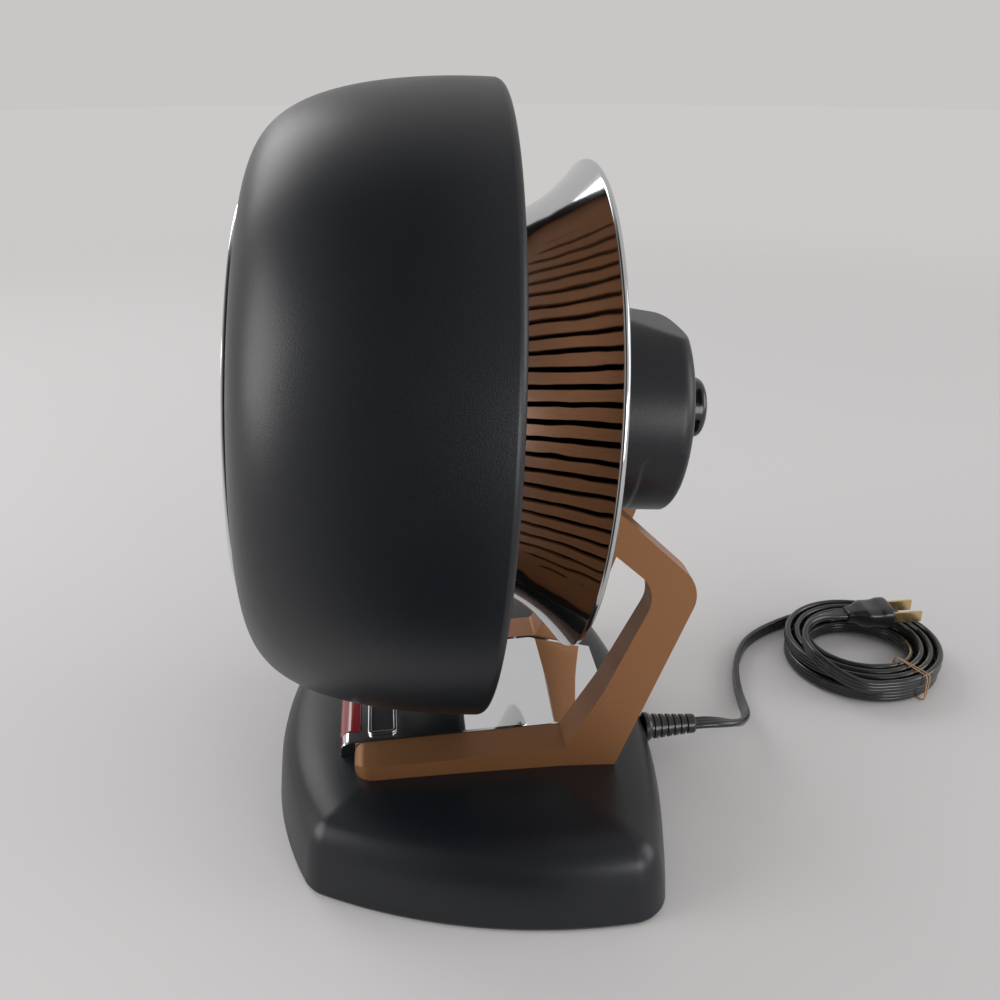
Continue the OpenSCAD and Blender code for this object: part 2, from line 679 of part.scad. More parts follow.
// Side outline of a yoke arm with its foot bar: [y, z, corner radius]
knee_y = 86.7;
knee_z = 122.7 + lift;
arm_outline = [
    [foot_front, pocket_z, 0.5], [foot_front, foot_top, 5], [31.5, foot_top, 2], [47.3, 75, 90],
    [knee_y - 18.7, knee_z - 0.7, 14], [pivot_y - 11, pivot_z - 0.4, 7],
    [pivot_y + 1, pivot_z + 12, 7], [knee_y - 42.7, knee_z + 41.5, 30], [knee_y, knee_z, 15],
    [foot_heel, pocket_z, 0.5]
];
arm_screw_r = 1.8;
module at_arm_screws() for (y = [foot_front + 20, foot_heel - 23])
    translate([arm_out - foot_w / 2, y, 0]) children();
// How far back the leaning heel reaches at the pocket's brim
heel_lean = (base_h - pocket_z) * (knee_y - foot_heel) / (knee_z - pocket_z);
taper_top = 112;
module arm_form() difference() {
    intersection() {
        translate([foot_in, 0, 0]) rotate([90, 0, 90]) linear_extrude(foot_w)
            polygon(rounded(arm_outline));
        linear_extrude(250) polygon(rounded([
            [foot_in, foot_front, 3], [arm_out, foot_front, 9], [arm_out, 100, 0], [foot_in, 100, 0]
        ]));
    }
    // The inner face draws in from the foot bar's width to the arm's thickness
    rotate([90, 0, 0]) linear_extrude(240, center = true) polygon([
        [foot_in - 1, foot_top + 0.4], [foot_in, foot_top + 0.4], [arm_in, taper_top],
        [arm_in, 250], [foot_in - 1, 250]
    ]);
    // The foot bar's top falls outwards
    translate([0, foot_front - 1, 0]) rotate([-90, 0, 0]) linear_extrude(30 - foot_front) polygon([
        [foot_in + 2, -foot_top], [arm_out + 1, 2.8 - foot_top], [arm_out + 1, -foot_top - 20],
        [foot_in + 2, -foot_top - 20]
    ]);
    translate([0, pivot_y, pivot_z]) rotate([0, 90, 0])
        cylinder(r = pivot_r + run_gap, h = 200, $fn = 48);
    translate([0, 0, pocket_z - 1]) at_arm_screws() cylinder(r = arm_screw_r, h = 8, $fn = 32);
}
module arm_right() color(copper) stand() arm_form();
module arm_left() color(copper) stand() mirror([1, 0, 0]) arm_form();

// Outline of the base, drawn in by inset
module base_plan() intersection() {
    translate([0, front_bow_r - base_front]) circle(r = front_bow_r, $fn = 80);
    translate([0, base_back - back_bow_r]) circle(r = back_bow_r, $fn = 120);
    translate([base_half_w - side_bow_r, side_bow_y]) circle(r = side_bow_r, $fn = 80);
    translate([side_bow_r - base_half_w, side_bow_y]) circle(r = side_bow_r, $fn = 80);
}
module base_outline(inset) offset(delta = -inset) offset(r = base_corner_r, $fn = 32)
    offset(delta = -base_corner_r) base_plan();
// A form with rounded shoulders through sections [height, inset]
module base_form(section) hull() for (s = section)
    translate([0, 0, s[0]]) linear_extrude(0.02) base_outline(s[1]);
post_x = 72;
post_front = -50;
post_back = 48;
plate_screw_len = 0.4 * (post_top - plate_z);
module screw_posts(r, z, h) for (x = [-post_x, post_x]) for (y = [post_front, post_back])
    translate([x, y, z]) cylinder(r = r, h = h, $fn = 32);
module gland_bore(r, y, h) translate([gland_x, y, gland_z]) rotate([-90, 0, 0])
    cylinder(r = r, h = h, $fn = 48);
module arm_pocket() linear_extrude(20) polygon(rounded([
    [-arm_out - fit_gap, foot_front - fit_gap, 9], [arm_out + fit_gap, foot_front - fit_gap, 9],
    [arm_out + fit_gap, foot_heel + heel_lean + fit_gap, 1],
    [-arm_out - fit_gap, foot_heel + heel_lean + fit_gap, 1]
]));
module base_shell() color(black) stand() difference() {
    union() {
        difference() {
            base_form(base_section);
            base_form(hollow_section);
            linear_extrude(2 * (plate_z + plate_t), center = true) base_outline(base_wall + 1);
        }
        screw_posts(4.5, plate_z + plate_t, post_top - plate_z - plate_t);
        gland_bore(gland_flange_r + 1, gland_seat - 6, 6);
    }
    gland_bore(gland_flange_r + fit_gap, gland_seat, 20);
    translate([0, 0, pocket_z]) arm_pocket();
    translate([-deck_half - fit_gap, deck_front - fit_gap, pocket_z])
        cube([2 * (deck_half + fit_gap), deck_back - deck_front + 2 * fit_gap, 20]);
    screw_posts(1.5, 0, plate_z + plate_screw_len + 4);
    for (side = [0, 1]) mirror([side, 0, 0]) translate([0, 0, hollow_top - 2]) at_arm_screws()
        cylinder(r = arm_screw_r + fit_gap, h = 30, $fn = 32);
    gland_bore(gland_body_r + fit_gap, gland_seat - 10, 20);
}

// The floor plate closes the base and carries the inner parts
module base_plate() color("#34373a") stand() difference() {
    translate([0, 0, plate_z]) linear_extrude(plate_t) base_outline(base_wall + 1 + fit_gap);
    screw_posts(1.8, 0, 20);
}

rubber_places = [[post_x, -66], [88, 50], [-post_x, -66], [-88, 50]];
module rubber_feet() color("#151617") stand() for (p = rubber_places)
    translate([p[0], p[1], 0]) cylinder(r1 = rubber_r - 0.6, r2 = rubber_r, h = foot_pad_t, $fn = 48);

screw_head_t = 1.6;
module plate_screws() color("#8a8d90") stand() union() {
    screw_posts(1.4, plate_z - 1.4, plate_screw_len);
    screw_posts(3, plate_z - screw_head_t, screw_head_t);
}

arm_screw_len = base_wall + 7;
module arm_screws() color("#8a8d90") stand() for (side = [0, 1]) mirror([side, 0, 0])
    translate([0, 0, hollow_top]) at_arm_screws() union() {
        translate([0, 0, -2.1]) cylinder(r = 2 * arm_screw_r, h = 2, $fn = 32);
        translate([0, 0, -1]) cylinder(r = arm_screw_r - 0.1, h = arm_screw_len, $fn = 32);
    }

// The chrome deck lies between the foot bars, turns down in front and slopes away behind
deck_line = [
    [deck_front, pocket_z], [deck_front, deck_h - 4], [deck_front + 1.2, deck_h - 1.2],
    [deck_front + 4, deck_h], [deck_crease, deck_h], [deck_back, pocket_z + 3.6],
    [deck_back, pocket_z]
];
module deck_tray() color(chrome) stand() difference() {
    translate([-deck_half, 0, 0]) rotate([90, 0, 90]) linear_extrude(2 * deck_half) polygon(deck_line);
    translate([-deck_half + deck_t, 0, -deck_t]) rotate([90, 0, 90])
        linear_extrude(2 * (deck_half - deck_t)) polygon(concat(
            [[deck_front + deck_t, pocket_z - 2], [deck_front + deck_t, deck_h - 3]],
            [[deck_front + 4, deck_h], [deck_crease, deck_h], [deck_back - deck_t, pocket_z + 4],
                [deck_back - deck_t, pocket_z - 2]]
        ));
    translate([-lens_half, deck_front - 1, pocket_z + 3]) cube([2 * lens_half, lens_back - deck_front + 1, 20]);
}

// The raised frame holds the bare badge plate
module badge_frame() color(chrome) stand() translate([0, 0, deck_h]) difference() {
    translate([-badge_half, badge_front, 0]) cube([2 * badge_half, badge_back - badge_front, 1.4]);
    translate([-badge_half + 1.6, badge_front + 1.6, -1])
        cube([2 * badge_half - 3.2, badge_back - badge_front - 3.2, 4]);
}
module badge_plate() color("#777b80") stand()
    translate([-badge_half + 1.6 + fit_gap, badge_front + 1.6 + fit_gap, deck_h])
        cube([2 * badge_half - 3.2 - 2 * fit_gap, badge_back - badge_front - 3.2 - 2 * fit_gap, 0.8]);

// The red lens wraps over the deck's front edge
lens_z = pocket_z + 3 + fit_gap;
lens_top = deck_h + 0.6;
lens_round = min(6, lens_top - lens_z - 1.2);
lens_line = rounded([
    [deck_front - 0.8, lens_z, 0.8], [deck_front - 0.8, lens_top, lens_round],
    [lens_back - fit_gap, lens_top, 0.6], [lens_back - fit_gap, lens_z, 0]
]);
module power_lens() color("#a01020") stand() translate([-lens_half + fit_gap, 0, 0])
    rotate([90, 0, 90]) linear_extrude(2 * (lens_half - fit_gap)) polygon(lens_line);
lamp_board_w = 24;
lamp_board_t = 1.4;
module lens_lamp() color("#e8e2c8") stand() union() {
    translate([-lamp_board_w / 2, deck_front + 3, pocket_z + 0.2]) cube([lamp_board_w, 8, lamp_board_t]);
    for (x = [-6, 6]) translate([x, deck_front + 6, pocket_z + 0.2 + lamp_board_t])
        cylinder(r = 1.5, h = 1.4, $fn = 32);
}

// Tip-over switch and terminal block stand on the floor plate
tip_switch_size = [28, 16, 14];
module tip_switch() color("#2b4a6b") stand() translate([-tip_switch_size[0] / 2, -18, plate_z + plate_t])
    cube(tip_switch_size);
module terminal_block() color("#e9e7df") stand() translate([gland_x - 12, 22, plate_z + plate_t])
    difference() {
        cube([24, 14, 12]);
        for (i = [0 : 2]) translate([4 + i * 8, 7, 4]) cylinder(r = 2, h = 12, $fn = 24);
    }

// The strain relief tapers from its flange to the cord
gland_flange_t = 2.6;
module cord_gland() color("#17191a") stand() difference() {
    union() {
        gland_bore(gland_body_r, gland_seat - 8, 9);
        gland_bore(gland_flange_r, gland_seat, gland_flange_t);
        translate([gland_x, gland_seat + gland_flange_t, gland_z]) rotate([-90, 0, 0])
            cylinder(r1 = gland_body_r + 1.2, r2 = cord_w / 2 + 0.8,
                h = exit_y - gland_seat - gland_flange_t, $fn = 48);
    }
    gland_bore(1.4, gland_seat - 9, 8);
}

module cord_lead() color("#141516") stand() flat_cord(lead_route, 8, lead_roll);

// The coil winds inwards, climbs a layer in the half turn where it reverses, and winds outwards
coil_last = coil_loops * coil_fn;
function coil_rise(s) = min(1, max(0, (s - coil_turns) / 0.5));
function coil_radius(s) = coil_out_r - turn_step * min(s, coil_loops - s);
coil_path = concat(
    [[coil_x - coil_out_r, coil_end, coil_z]],
    [
        for (i = [0 : coil_last]) let (s = i / coil_fn, a = 180 - 360 * s, r = coil_radius(s))
            [coil_x + r * cos(a), coil_y + r * sin(a), coil_z + layer_step * coil_rise(s)]
    ],
    [[coil_x + coil_out_r, coil_end, top_z]]
);
// The cord stands on edge in the coil: its turns are clear sideways, upwards or across their shoulders
shoulder = unit([cord_w / 4, cord_t / 2]);
function turn_gap(d) = let (h = norm([d[0], d[1]]), v = abs(d[2]))
    max(h - cord_t, v - cord_w, shoulder * [h, v] - cord_w * shoulder[1]);
coil_gaps = [
    for (i = [0 : 2 : coil_last]) for (j = [i + 12 : coil_last]) turn_gap(coil_path[i] - coil_path[j])
];
echo(coil_least_gap = min(coil_gaps));  // cord_coil
module cord_coil() color("#141516") stand() flat_cord(coil_path, 6);

module cord_tail() color("#141516") stand() flat_cord(tail_route, 8);

// A rubber band holds the turns together
band_angle = 24;
band_side = cord_t / 2 + 0.6;
module band_loop(grow) polygon(rounded([
    [coil_in_r - band_side - grow, coil_z - cord_w / 2 - band_gap - grow, 3],
    [coil_out_r + band_side + grow, coil_z - cord_w / 2 - band_gap - grow, 3],
    [coil_out_r + band_side + grow, top_z + cord_w / 2 + band_gap + grow, 3],
    [coil_in_r - band_side - grow, top_z + cord_w / 2 + band_gap + grow, 3]
]));
module coil_band() color("#c9a46a") stand() translate([coil_x, coil_y, 0]) rotate(band_angle)
    rotate([90, 0, 0]) linear_extrude(band_w, center = true) difference() {
        band_loop(band_t);
        band_loop(0);
    }

// The plug lies on the coil, with its two blades level
module plug_place() stand() translate([plug_x, plug_y, plug_z]) rotate([-90, 0, 0]) children();
module plug_body() color("#17191a") plug_place()
    difference() {
        union() {
            cylinder(r1 = cord_w / 2 + 0.8, r2 = plug_half_t, h = 9, $fn = 40);
            translate([0, 0, 9]) intersection() {
                translate([-plug_half_w, -plug_half_t, 0]) cube([2 * plug_half_w, 2 * plug_half_t, plug_len - 9]);
                cylinder(r = plug_half_w + 0.6, h = plug_len, $fn = 64);
            }
        }
        for (x = [-6.35, 6.35]) translate([x - 0.95, -3.35, plug_len - 6]) cube([1.9, 6.7, 8]);
    }
module plug_blades() color("#c9a85a") plug_place()
    for (x = [-6.35, 6.35]) translate([x - 0.75, -3.15, plug_len - 5.8]) cube([1.5, 6.3, 22.8]);

drum_shell();
front_ring();
front_grille();
grille_cap();
air_duct();
element_spokes();
element_wire();
thermal_cutout();
fan();
fan_nut();
motor_shaft();
motor_can();
rear_guard();
inlet_ring();
rear_bell();
motor_housing();
rear_cap();
cap_screws();
control_knob();
rocker_switch();
rocker_frame();
thermostat();
pivot_bolts();
pivot_washers();
arm_right();
arm_left();
base_shell();
base_plate();
rubber_feet();
plate_screws();
arm_screws();
deck_tray();
badge_frame();
badge_plate();
power_lens();
lens_lamp();
tip_switch();
terminal_block();
cord_gland();
cord_lead();
cord_coil();
cord_tail();
coil_band();
plug_body();
plug_blades();
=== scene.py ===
import json
from math import acos, asin, atan2, cos, pi, radians, sin, sqrt, tan, tau

import bmesh
import bpy
from mathutils import Matrix, Vector, geometry


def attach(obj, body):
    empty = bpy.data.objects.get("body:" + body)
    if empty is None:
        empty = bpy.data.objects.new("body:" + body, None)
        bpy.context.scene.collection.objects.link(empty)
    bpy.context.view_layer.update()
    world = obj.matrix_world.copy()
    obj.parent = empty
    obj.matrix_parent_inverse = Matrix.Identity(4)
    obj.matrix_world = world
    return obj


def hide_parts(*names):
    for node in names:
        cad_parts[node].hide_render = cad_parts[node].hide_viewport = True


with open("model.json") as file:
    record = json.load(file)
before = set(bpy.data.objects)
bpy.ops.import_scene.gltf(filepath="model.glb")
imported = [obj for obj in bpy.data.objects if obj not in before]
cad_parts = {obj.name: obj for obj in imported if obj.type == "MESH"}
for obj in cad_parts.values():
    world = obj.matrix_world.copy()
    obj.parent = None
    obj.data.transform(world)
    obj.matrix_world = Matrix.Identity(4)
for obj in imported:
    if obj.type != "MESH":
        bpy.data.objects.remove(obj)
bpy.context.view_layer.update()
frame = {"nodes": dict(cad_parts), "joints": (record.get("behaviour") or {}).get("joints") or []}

# Camera. It stands at the heater's right side, a little ahead of the middle,
# and looks down on it from just above the drum's top.
view_lens = 35.856
view_place = (0.3981, -0.03446, 0.3247)
view_turn = radians(6.47)
view_drop = radians(24.59)
camera = bpy.data.objects.new("camera", bpy.data.cameras.new("camera"))
camera.data.lens = view_lens
camera.data.sensor_width = 36
camera.location = view_place
sight = Vector((-cos(view_drop) * cos(view_turn), cos(view_drop) * sin(view_turn), -sin(view_drop)))
camera.rotation_euler = sight.to_track_quat("-Z", "Y").to_euler()
scene = bpy.context.scene
scene.collection.objects.link(camera)
scene.camera = camera
scene.view_settings.view_transform = "Standard"


# Studio. A pale floor runs out to a pale sky, under large lamps that give soft shadows.
# Glossy surfaces also mirror a dark end of the room, behind the camera, which keeps the black
# paint deep, and a bright window behind the heater.
class Wire:
    """A shader socket that takes part in arithmetic."""

    def __init__(self, tree, socket):
        self.tree = tree
        self.socket = socket

    def maths(self, operation, *others):
        """Adds a Math node that takes this wire first."""
        node = self.tree.nodes.new("ShaderNodeMath")
        node.operation = operation
        for value, socket in zip((self, *others), node.inputs):
            joined(self.tree, value, socket)
        return Wire(self.tree, node.outputs[0])

    def __add__(self, other):
        return self.maths("ADD", other)

    def __mul__(self, other):
        return self.maths("MULTIPLY", other)

    def __pow__(self, other):
        return self.maths("POWER", other)

    def __sub__(self, other):
        return self.maths("SUBTRACT", other)

    def __rsub__(self, other):
        return (self * -1) + other

    __radd__ = __add__
    __rmul__ = __mul__


def joined(tree, value, socket):
    """Links a wire to a socket, or gives the socket a plain value."""
    if isinstance(value, Wire):
        tree.links.new(value.socket, socket)
    else:
        socket.default_value = value


class Nodes:
    """A node tree whose nodes are made from a kind, its settings and its sockets."""

    def __init__(self, tree):
        self.tree = tree

    def node(self, kind, settings=None, sockets=None, output=0):
        made = self.tree.nodes.new("ShaderNode" + kind)
        for key, value in (settings or {}).items():
            setattr(made, key, value)
        for key, value in (sockets or {}).items():
            joined(self.tree, value, made.inputs[key])
        return Wire(self.tree, made.outputs[output])

    def blend(self, factor, first, second):
        shades = {0: factor, 6: first, 7: second}
        return self.node("Mix", {"data_type": "RGBA"}, shades, 2)

    def ramp(self, value, start, end):
        """Rises smoothly from 0 at start to 1 at end."""
        limits = {"Value": value, "From Min": start, "From Max": end}
        return self.node("MapRange", {"interpolation_type": "SMOOTHSTEP"}, limits)

    def glow(self, way):
        """How bright the room is towards a direction. Its dark end lies behind the camera."""
        along, across = (self.node("SeparateXYZ", {}, {"Vector": way}, output) for output in "XY")
        beside = self.ramp(across, 0.03, 0.24)
        ahead = self.ramp(across, -0.25, -0.85)
        beyond = self.ramp(along, -0.05, -0.7)
        return beside.maths("MAXIMUM", ahead).maths("MAXIMUM", beyond)

    def seen(self):
        """1 for the rays that show a surface and not only light it."""
        rays = ("Is Glossy Ray", "Is Transmission Ray")
        return sum((self.node("LightPath", output=ray) for ray in rays), self.node("LightPath"))


floor_shade = (0.64, 0.625, 0.62, 1)
sky_shade = (0.585, 0.57, 0.565, 1)
dark_shade = (0.035, 0.035, 0.037, 1)
window_shade = (1.7, 1.7, 1.72, 1)
low_light = (0.50, 0.50, 0.505, 1)
high_light = (0.86, 0.86, 0.865, 1)
scene.world = bpy.data.worlds.new("studio")
scene.world.use_nodes = True
sky = Nodes(scene.world.node_tree)
sky_way = sky.node("TexCoord", output="Generated")
sky_along, sky_across, sky_up = (
    sky.node("SeparateXYZ", {}, {"Vector": sky_way}, output) for output in "XYZ"
)
window = sky.ramp(sky_across, 0.2, 0.5) * sky.ramp(sky_along, 0.0, 0.4) * sky.ramp(sky_up, 0.3, 0.1)
sky_mirrored = sky.blend(window, sky.blend(sky.glow(sky_way), dark_shade, sky_shade), window_shade)
sky_seen = sky.blend(sky.node("LightPath", output="Is Glossy Ray"), sky_shade, sky_mirrored)
sky_light = sky.blend(sky.ramp(sky_along, -0.3, 1.0), low_light, high_light)
joined(sky.tree, sky.blend(sky.seen(), sky_light, sky_seen), sky.tree.nodes["Background"].inputs["Color"])


def lamp(name, place, aim, size, power):
    """Hangs a square lamp that faces a point."""
    light = bpy.data.lights.new(name, "AREA")
    light.size = size
    light.energy = power
    holder = bpy.data.objects.new(name, light)
    holder.location = place
    holder.rotation_euler = (Vector(aim) - Vector(place)).to_track_quat("-Z", "Y").to_euler()
    scene.collection.objects.link(holder)


heater_middle = (0, 0, 0.15)
lamp("top_lamp", (-1.2, -0.9, 1.2), heater_middle, 0.9, 7)
lamp("front_lamp", (0.25, -1.7, 0.7), heater_middle, 1.1, 15)
lamp("back_lamp", (0.3, 1.7, 0.7), heater_middle, 1.0, 8)
lamp("side_lamp", (1.5, 0.85, 0.4), heater_middle, 0.7, 6)


class Finish(Nodes):
    """A material whose shader is fed by socket names."""

    def __init__(self, name, **plain):
        self.material = bpy.data.materials.new(name)
        self.material.use_nodes = True
        super().__init__(self.material.node_tree)
        self.place = self.node("TexCoord", output="Object")
        self.set(plain)

    def set(self, sockets):
        """Feeds the shader's sockets by name."""
        for key, value in sockets.items():
            joined(self.tree, value, self.tree.nodes["Principled BSDF"].inputs[key.replace("_", " ")])

    def noise(self, size, detail=2, stretch=(1, 1, 1)):
        """Noise whose lumps are about as wide as size, in metres."""
        place = self.place
        if stretch != (1, 1, 1):
            place = self.node("Mapping", {}, {"Vector": self.place, "Scale": stretch})
        return self.node("TexNoise", {}, {"Vector": place, "Scale": 1 / size, "Detail": detail})

    def bump(self, height, depth):
        """Raises the surface by up to depth, in metres, where height is 1."""
        return self.node("Bump", {}, {"Height": height, "Distance": depth, "Strength": 1.0})


def shade(colour, factor):
    """The same colour, lighter or darker."""
    return tuple(channel * factor for channel in colour[:3]) + (1,)


floor_finish = Finish("floor_paper", Roughness=0.9, Specular_IOR_Level=0.1, Emission_Strength=1.0)
paper = floor_finish.blend(floor_finish.noise(0.4, 3), shade(floor_shade, 0.98), floor_shade)
floor_way = floor_finish.node("VectorMath", {"operation": "NORMALIZE"}, {0: floor_finish.place})
floor_reach = floor_finish.node("VectorMath", {"operation": "LENGTH"}, {0: floor_finish.place}, "Value")
floor_along = floor_finish.node("SeparateXYZ", {}, {"Vector": floor_finish.place})
# Where glossy surfaces mirror the floor on the camera's side, the floor is painted dark: a painted shadow
# that only reflections show.
lit_end, dark_start = 0.12, 0.2
floor_lit = floor_finish.ramp(floor_along, dark_start, lit_end)
floor_glow = floor_finish.glow(floor_way).maths("MAXIMUM", floor_lit)
mirrored = floor_finish.node("LightPath", output="Is Glossy Ray")
paper = floor_finish.blend(mirrored * (1 - floor_glow), paper, dark_shade)
fade_start, fade_end = 0.45, 1.7
floor_fade = floor_finish.ramp(floor_reach, fade_start, fade_end) * floor_finish.seen()
# Far off, the floor fades to the sky's shade, and its mirrored part on the camera's side is painted dark
# there too: painted shadow.
floor_sky = floor_finish.blend(mirrored * (1 - floor_finish.glow(floor_way)), sky_shade, dark_shade)
black = (0, 0, 0, 1)
floor_finish.set({
    "Base Color": floor_finish.blend(floor_fade, paper, black),
    "Emission Color": floor_finish.blend(floor_fade, black, floor_sky),
})
floor_r = 6
floor_mesh = bmesh.new()
bmesh.ops.create_circle(floor_mesh, cap_ends=True, segments=96, radius=floor_r)
floor = bpy.data.objects.new("floor", bpy.data.meshes.new("floor"))
floor_mesh.to_mesh(floor.data)
floor_mesh.free()
floor.data.materials.append(floor_finish.material)
scene.collection.objects.link(floor)

# Power cord. A flat three-core lead in glossy black vinyl, moulded with two grooves.
# It leaves the base's heel, turns on edge, winds into a round coil of two layers and
# comes back over its turns to the plug.
MM = 0.001
spin_joint = next(joint for joint in frame["joints"] if joint["name"] == "fan_spin")
head_centre = Vector(spin_joint["pos_m"]) / MM
STAND = Matrix.Translation((0, head_centre.y, 0))
cord_width = 7.4
lobe_r = 1.72
lobe_step = cord_width / 2 - lobe_r
gland_x, gland_z, gland_end = 14, 23, 103
table_z, coil_z, top_z, plug_z = 3.8, 4.6, 12.5, 22.9
coil_x, coil_y, coil_end = -62, 224, 218
coil_out_r, turn_step, coil_loops = 43.5, 5, 6.5
coil_turns, turn_rings = 3, 60
layer_step = top_z - coil_z
plug_start = 220
lead_route = [
    (gland_x, gland_end, gland_z), (gland_x, 109, gland_z), (13.2, 116, 21.8), (10.4, 124, 18.8),
    (4.6, 131, 14.6), (-4, 136.4, 10.4), (-15, 140, 6.8), (-28, 142.6, 4.4), (-42, 145.4, table_z),
    (-56, 149.4, table_z), (-69, 155.4, table_z), (-81, 163.8, table_z), (-90.6, 175, table_z),
    (-98, 188, table_z), (-103.2, 201, 4.2), (-105.5, 212, coil_z), (-105.5, coil_end, coil_z),
]
lead_roll = [90, 90, 82, 64, 40, 18, 4]
tail_route = [
    (-18.5, coil_end, top_z), (-18.5, 215, top_z), (-19.5, 207.6, 13.1), (-22.3, 200.8, 14.7),
    (-26.8, 194.8, 16.9), (-32.8, 190.3, 18.9), (-39.6, 187.5, 20.2), (-47, 186.5, 20.8),
    (-54.4, 187.5, 21.3), (-61.2, 190.3, 21.9), (-67.2, 194.8, 22.4), (-71.7, 200.8, 22.7),
    (-74.5, 207.6, plug_z), (-75.5, 215, plug_z), (-75.5, plug_start, plug_z),
]
tail_roll = [0, 12, 36, 66, 86, 90]


def curved(points, steps):
    """A smooth curve through the points, without its last one."""
    points = [Vector(point) for point in points]
    ends = [2 * points[0] - points[1], *points, 2 * points[-1] - points[-2]]
    route = []
    for before, here, there, after in zip(ends, ends[1:], ends[2:], ends[3:]):
        for step in range(steps):
            t = step / steps
            bend = 2 * before - 5 * here + 4 * there - after
            swing = 3 * here - before - 3 * there + after
            route.append(here + (t * (there - before) + t ** 2 * bend + t ** 3 * swing) / 2)
    return route


def coil_point(turn):
    """The coil winds inwards, climbs a layer in half a turn and winds out again."""
    angle = pi - tau * turn
    radius = coil_out_r - turn_step * min(turn, coil_loops - turn)
    rise = min(1, max(0, (turn - coil_turns) / 0.5))
    return Vector((coil_x + radius * cos(angle), coil_y + radius * sin(angle), coil_z + layer_step * rise))


lead_steps, tail_steps = 6, 4
lead = curved(lead_route, lead_steps)
coil = [Vector(lead_route[-1])]
coil += [coil_point(ring / turn_rings) for ring in range(round(coil_loops * turn_rings) + 1)]
tail = curved(tail_route, tail_steps) + [Vector(tail_route[-1])]
cord_route = lead + coil + tail


def spread(values, count, steps):
    """Evenly blended values, held at the last one until there are count of them."""
    row = []
    for here, there in zip(values, values[1:]):
        row += [here + (there - here) * step / steps for step in range(steps)]
    return row + [values[-1]] * (count - len(row))


rolls = spread(lead_roll + [0], len(lead) + len(coil), lead_steps)
turned = spread(tail_roll, (len(tail_roll) - 1) * tail_steps + 1, tail_steps)
rolls += [0] * (len(tail) - len(turned)) + turned


def swept(route, section, rolls, closed=False):
    """Sweeps a flat section along a route and gives back its mesh."""
    curves = []
    for name, points, loop in (("section", section, True), ("rail", route, closed)):
        curve = bpy.data.curves.new(name, "CURVE")
        curve.dimensions = "2D" if name == "section" else "3D"
        line = curve.splines.new("POLY")
        line.points.add(len(points) - 1)
        for point, place in zip(line.points, points):
            point.co = (*place, 1) if len(place) == 3 else (*place, 0, 1)
        line.use_cyclic_u = loop
        holder = bpy.data.objects.new(name, curve)
        scene.collection.objects.link(holder)
        curves.append(holder)
    for point, roll in zip(line.points, rolls):
        point.tilt = radians(roll)
    curve.twist_mode = "MINIMUM" if closed else "Z_UP"
    curve.bevel_mode = "OBJECT"
    curve.bevel_object = curves[0]
    curve.use_fill_caps = True
    bpy.context.view_layer.update()
    skin = bpy.data.meshes.new_from_object(holder.evaluated_get(bpy.context.evaluated_depsgraph_get()))
    bm = bmesh.new()
    bm.from_mesh(skin)
    bpy.data.meshes.remove(skin)
    for holder in curves:
        bpy.data.curves.remove(holder.data)
    return bm


def made(name, bm, finish, body, slot, place=STAND, sharp=34, soften=0.0):
    """Turns a bmesh in millimetres into a finished piece that rides on a body."""
    merge_gap, least_edge = 0.004, 0.001
    bmesh.ops.remove_doubles(bm, verts=bm.verts, dist=merge_gap)
    bmesh.ops.dissolve_degenerate(bm, edges=bm.edges, dist=least_edge)
    bmesh.ops.recalc_face_normals(bm, faces=bm.faces)
    bmesh.ops.transform(bm, matrix=Matrix.Scale(MM, 4) @ place, verts=bm.verts)
    for face in bm.faces:
        face.smooth = True
    for edge in bm.edges:
        edge.smooth = not (len(edge.link_faces) == 2 and edge.calc_face_angle() > radians(sharp))
    piece = bpy.data.objects.new(name, bpy.data.meshes.new(name))
    bm.to_mesh(piece.data)
    bm.free()
    piece.data.materials.append(finish.material)
    scene.collection.objects.link(piece)
    if soften:
        edges = piece.modifiers.new("rounded_edges", "BEVEL")
        edges.width = soften * MM
        edges.segments = 3
        edges.limit_method = "ANGLE"
        edges.angle_limit = radians(sharp)
        edges.harden_normals = True
    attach(piece, body)
    return piece


vinyl = Finish("cord_vinyl", Coat_Weight=0.3, Coat_Roughness=0.12)
vinyl_ripple = vinyl.noise(0.006, 2)
vinyl_black = (0.010, 0.0105, 0.011, 1)
vinyl.set({
    "Base Color": vinyl.blend(vinyl.noise(0.03), shade(vinyl_black, 0.8), shade(vinyl_black, 1.3)),
    "Roughness": 0.2 + 0.14 * vinyl.noise(0.012),
    "Normal": vinyl.bump(vinyl_ripple, 0.00006),
})


def lobe(height, start, end, steps):
    """Points round one core of the lead's section, without the last one."""
    angles = [start + (end - start) * step / steps for step in range(steps)]
    return [(lobe_r * cos(angle), height + lobe_r * sin(angle)) for angle in angles]


groove = asin(lobe_step / 2 / lobe_r)
cord_section = lobe(0, -groove, groove, 4) + lobe(lobe_step, -groove, pi + groove, 11)
cord_section += lobe(0, pi - groove, pi + groove, 4) + lobe(-lobe_step, pi - groove, tau + groove, 11)
cord = made("power_cord", swept(cord_route, cord_section, rolls), vinyl, "base", "cord_black", sharp=44)
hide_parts("cord_lead", "cord_coil", "cord_tail")
cord_path = [tuple(MM * (STAND @ point)) for point in cord_route]


# Strain relief. Soft black vinyl is moulded round the lead where it leaves the base,
# with ribs that let it bend and a flange that seats on the shell.
def spun(profile, steps, closed=True):
    """Spins an outline of (radius, station) round the Y axis."""
    bm = bmesh.new()
    dots = [bm.verts.new((radius, station, 0)) for radius, station in profile]
    pairs = list(zip(dots, dots[1:])) + ([(dots[-1], dots[0])] if closed else [])
    lines = [bm.edges.new(pair) for pair in pairs]
    bmesh.ops.spin(
        bm, geom=dots + lines, cent=(0, 0, 0), axis=(0, 1, 0), angle=tau, steps=steps, use_merge=True
    )
    return bm


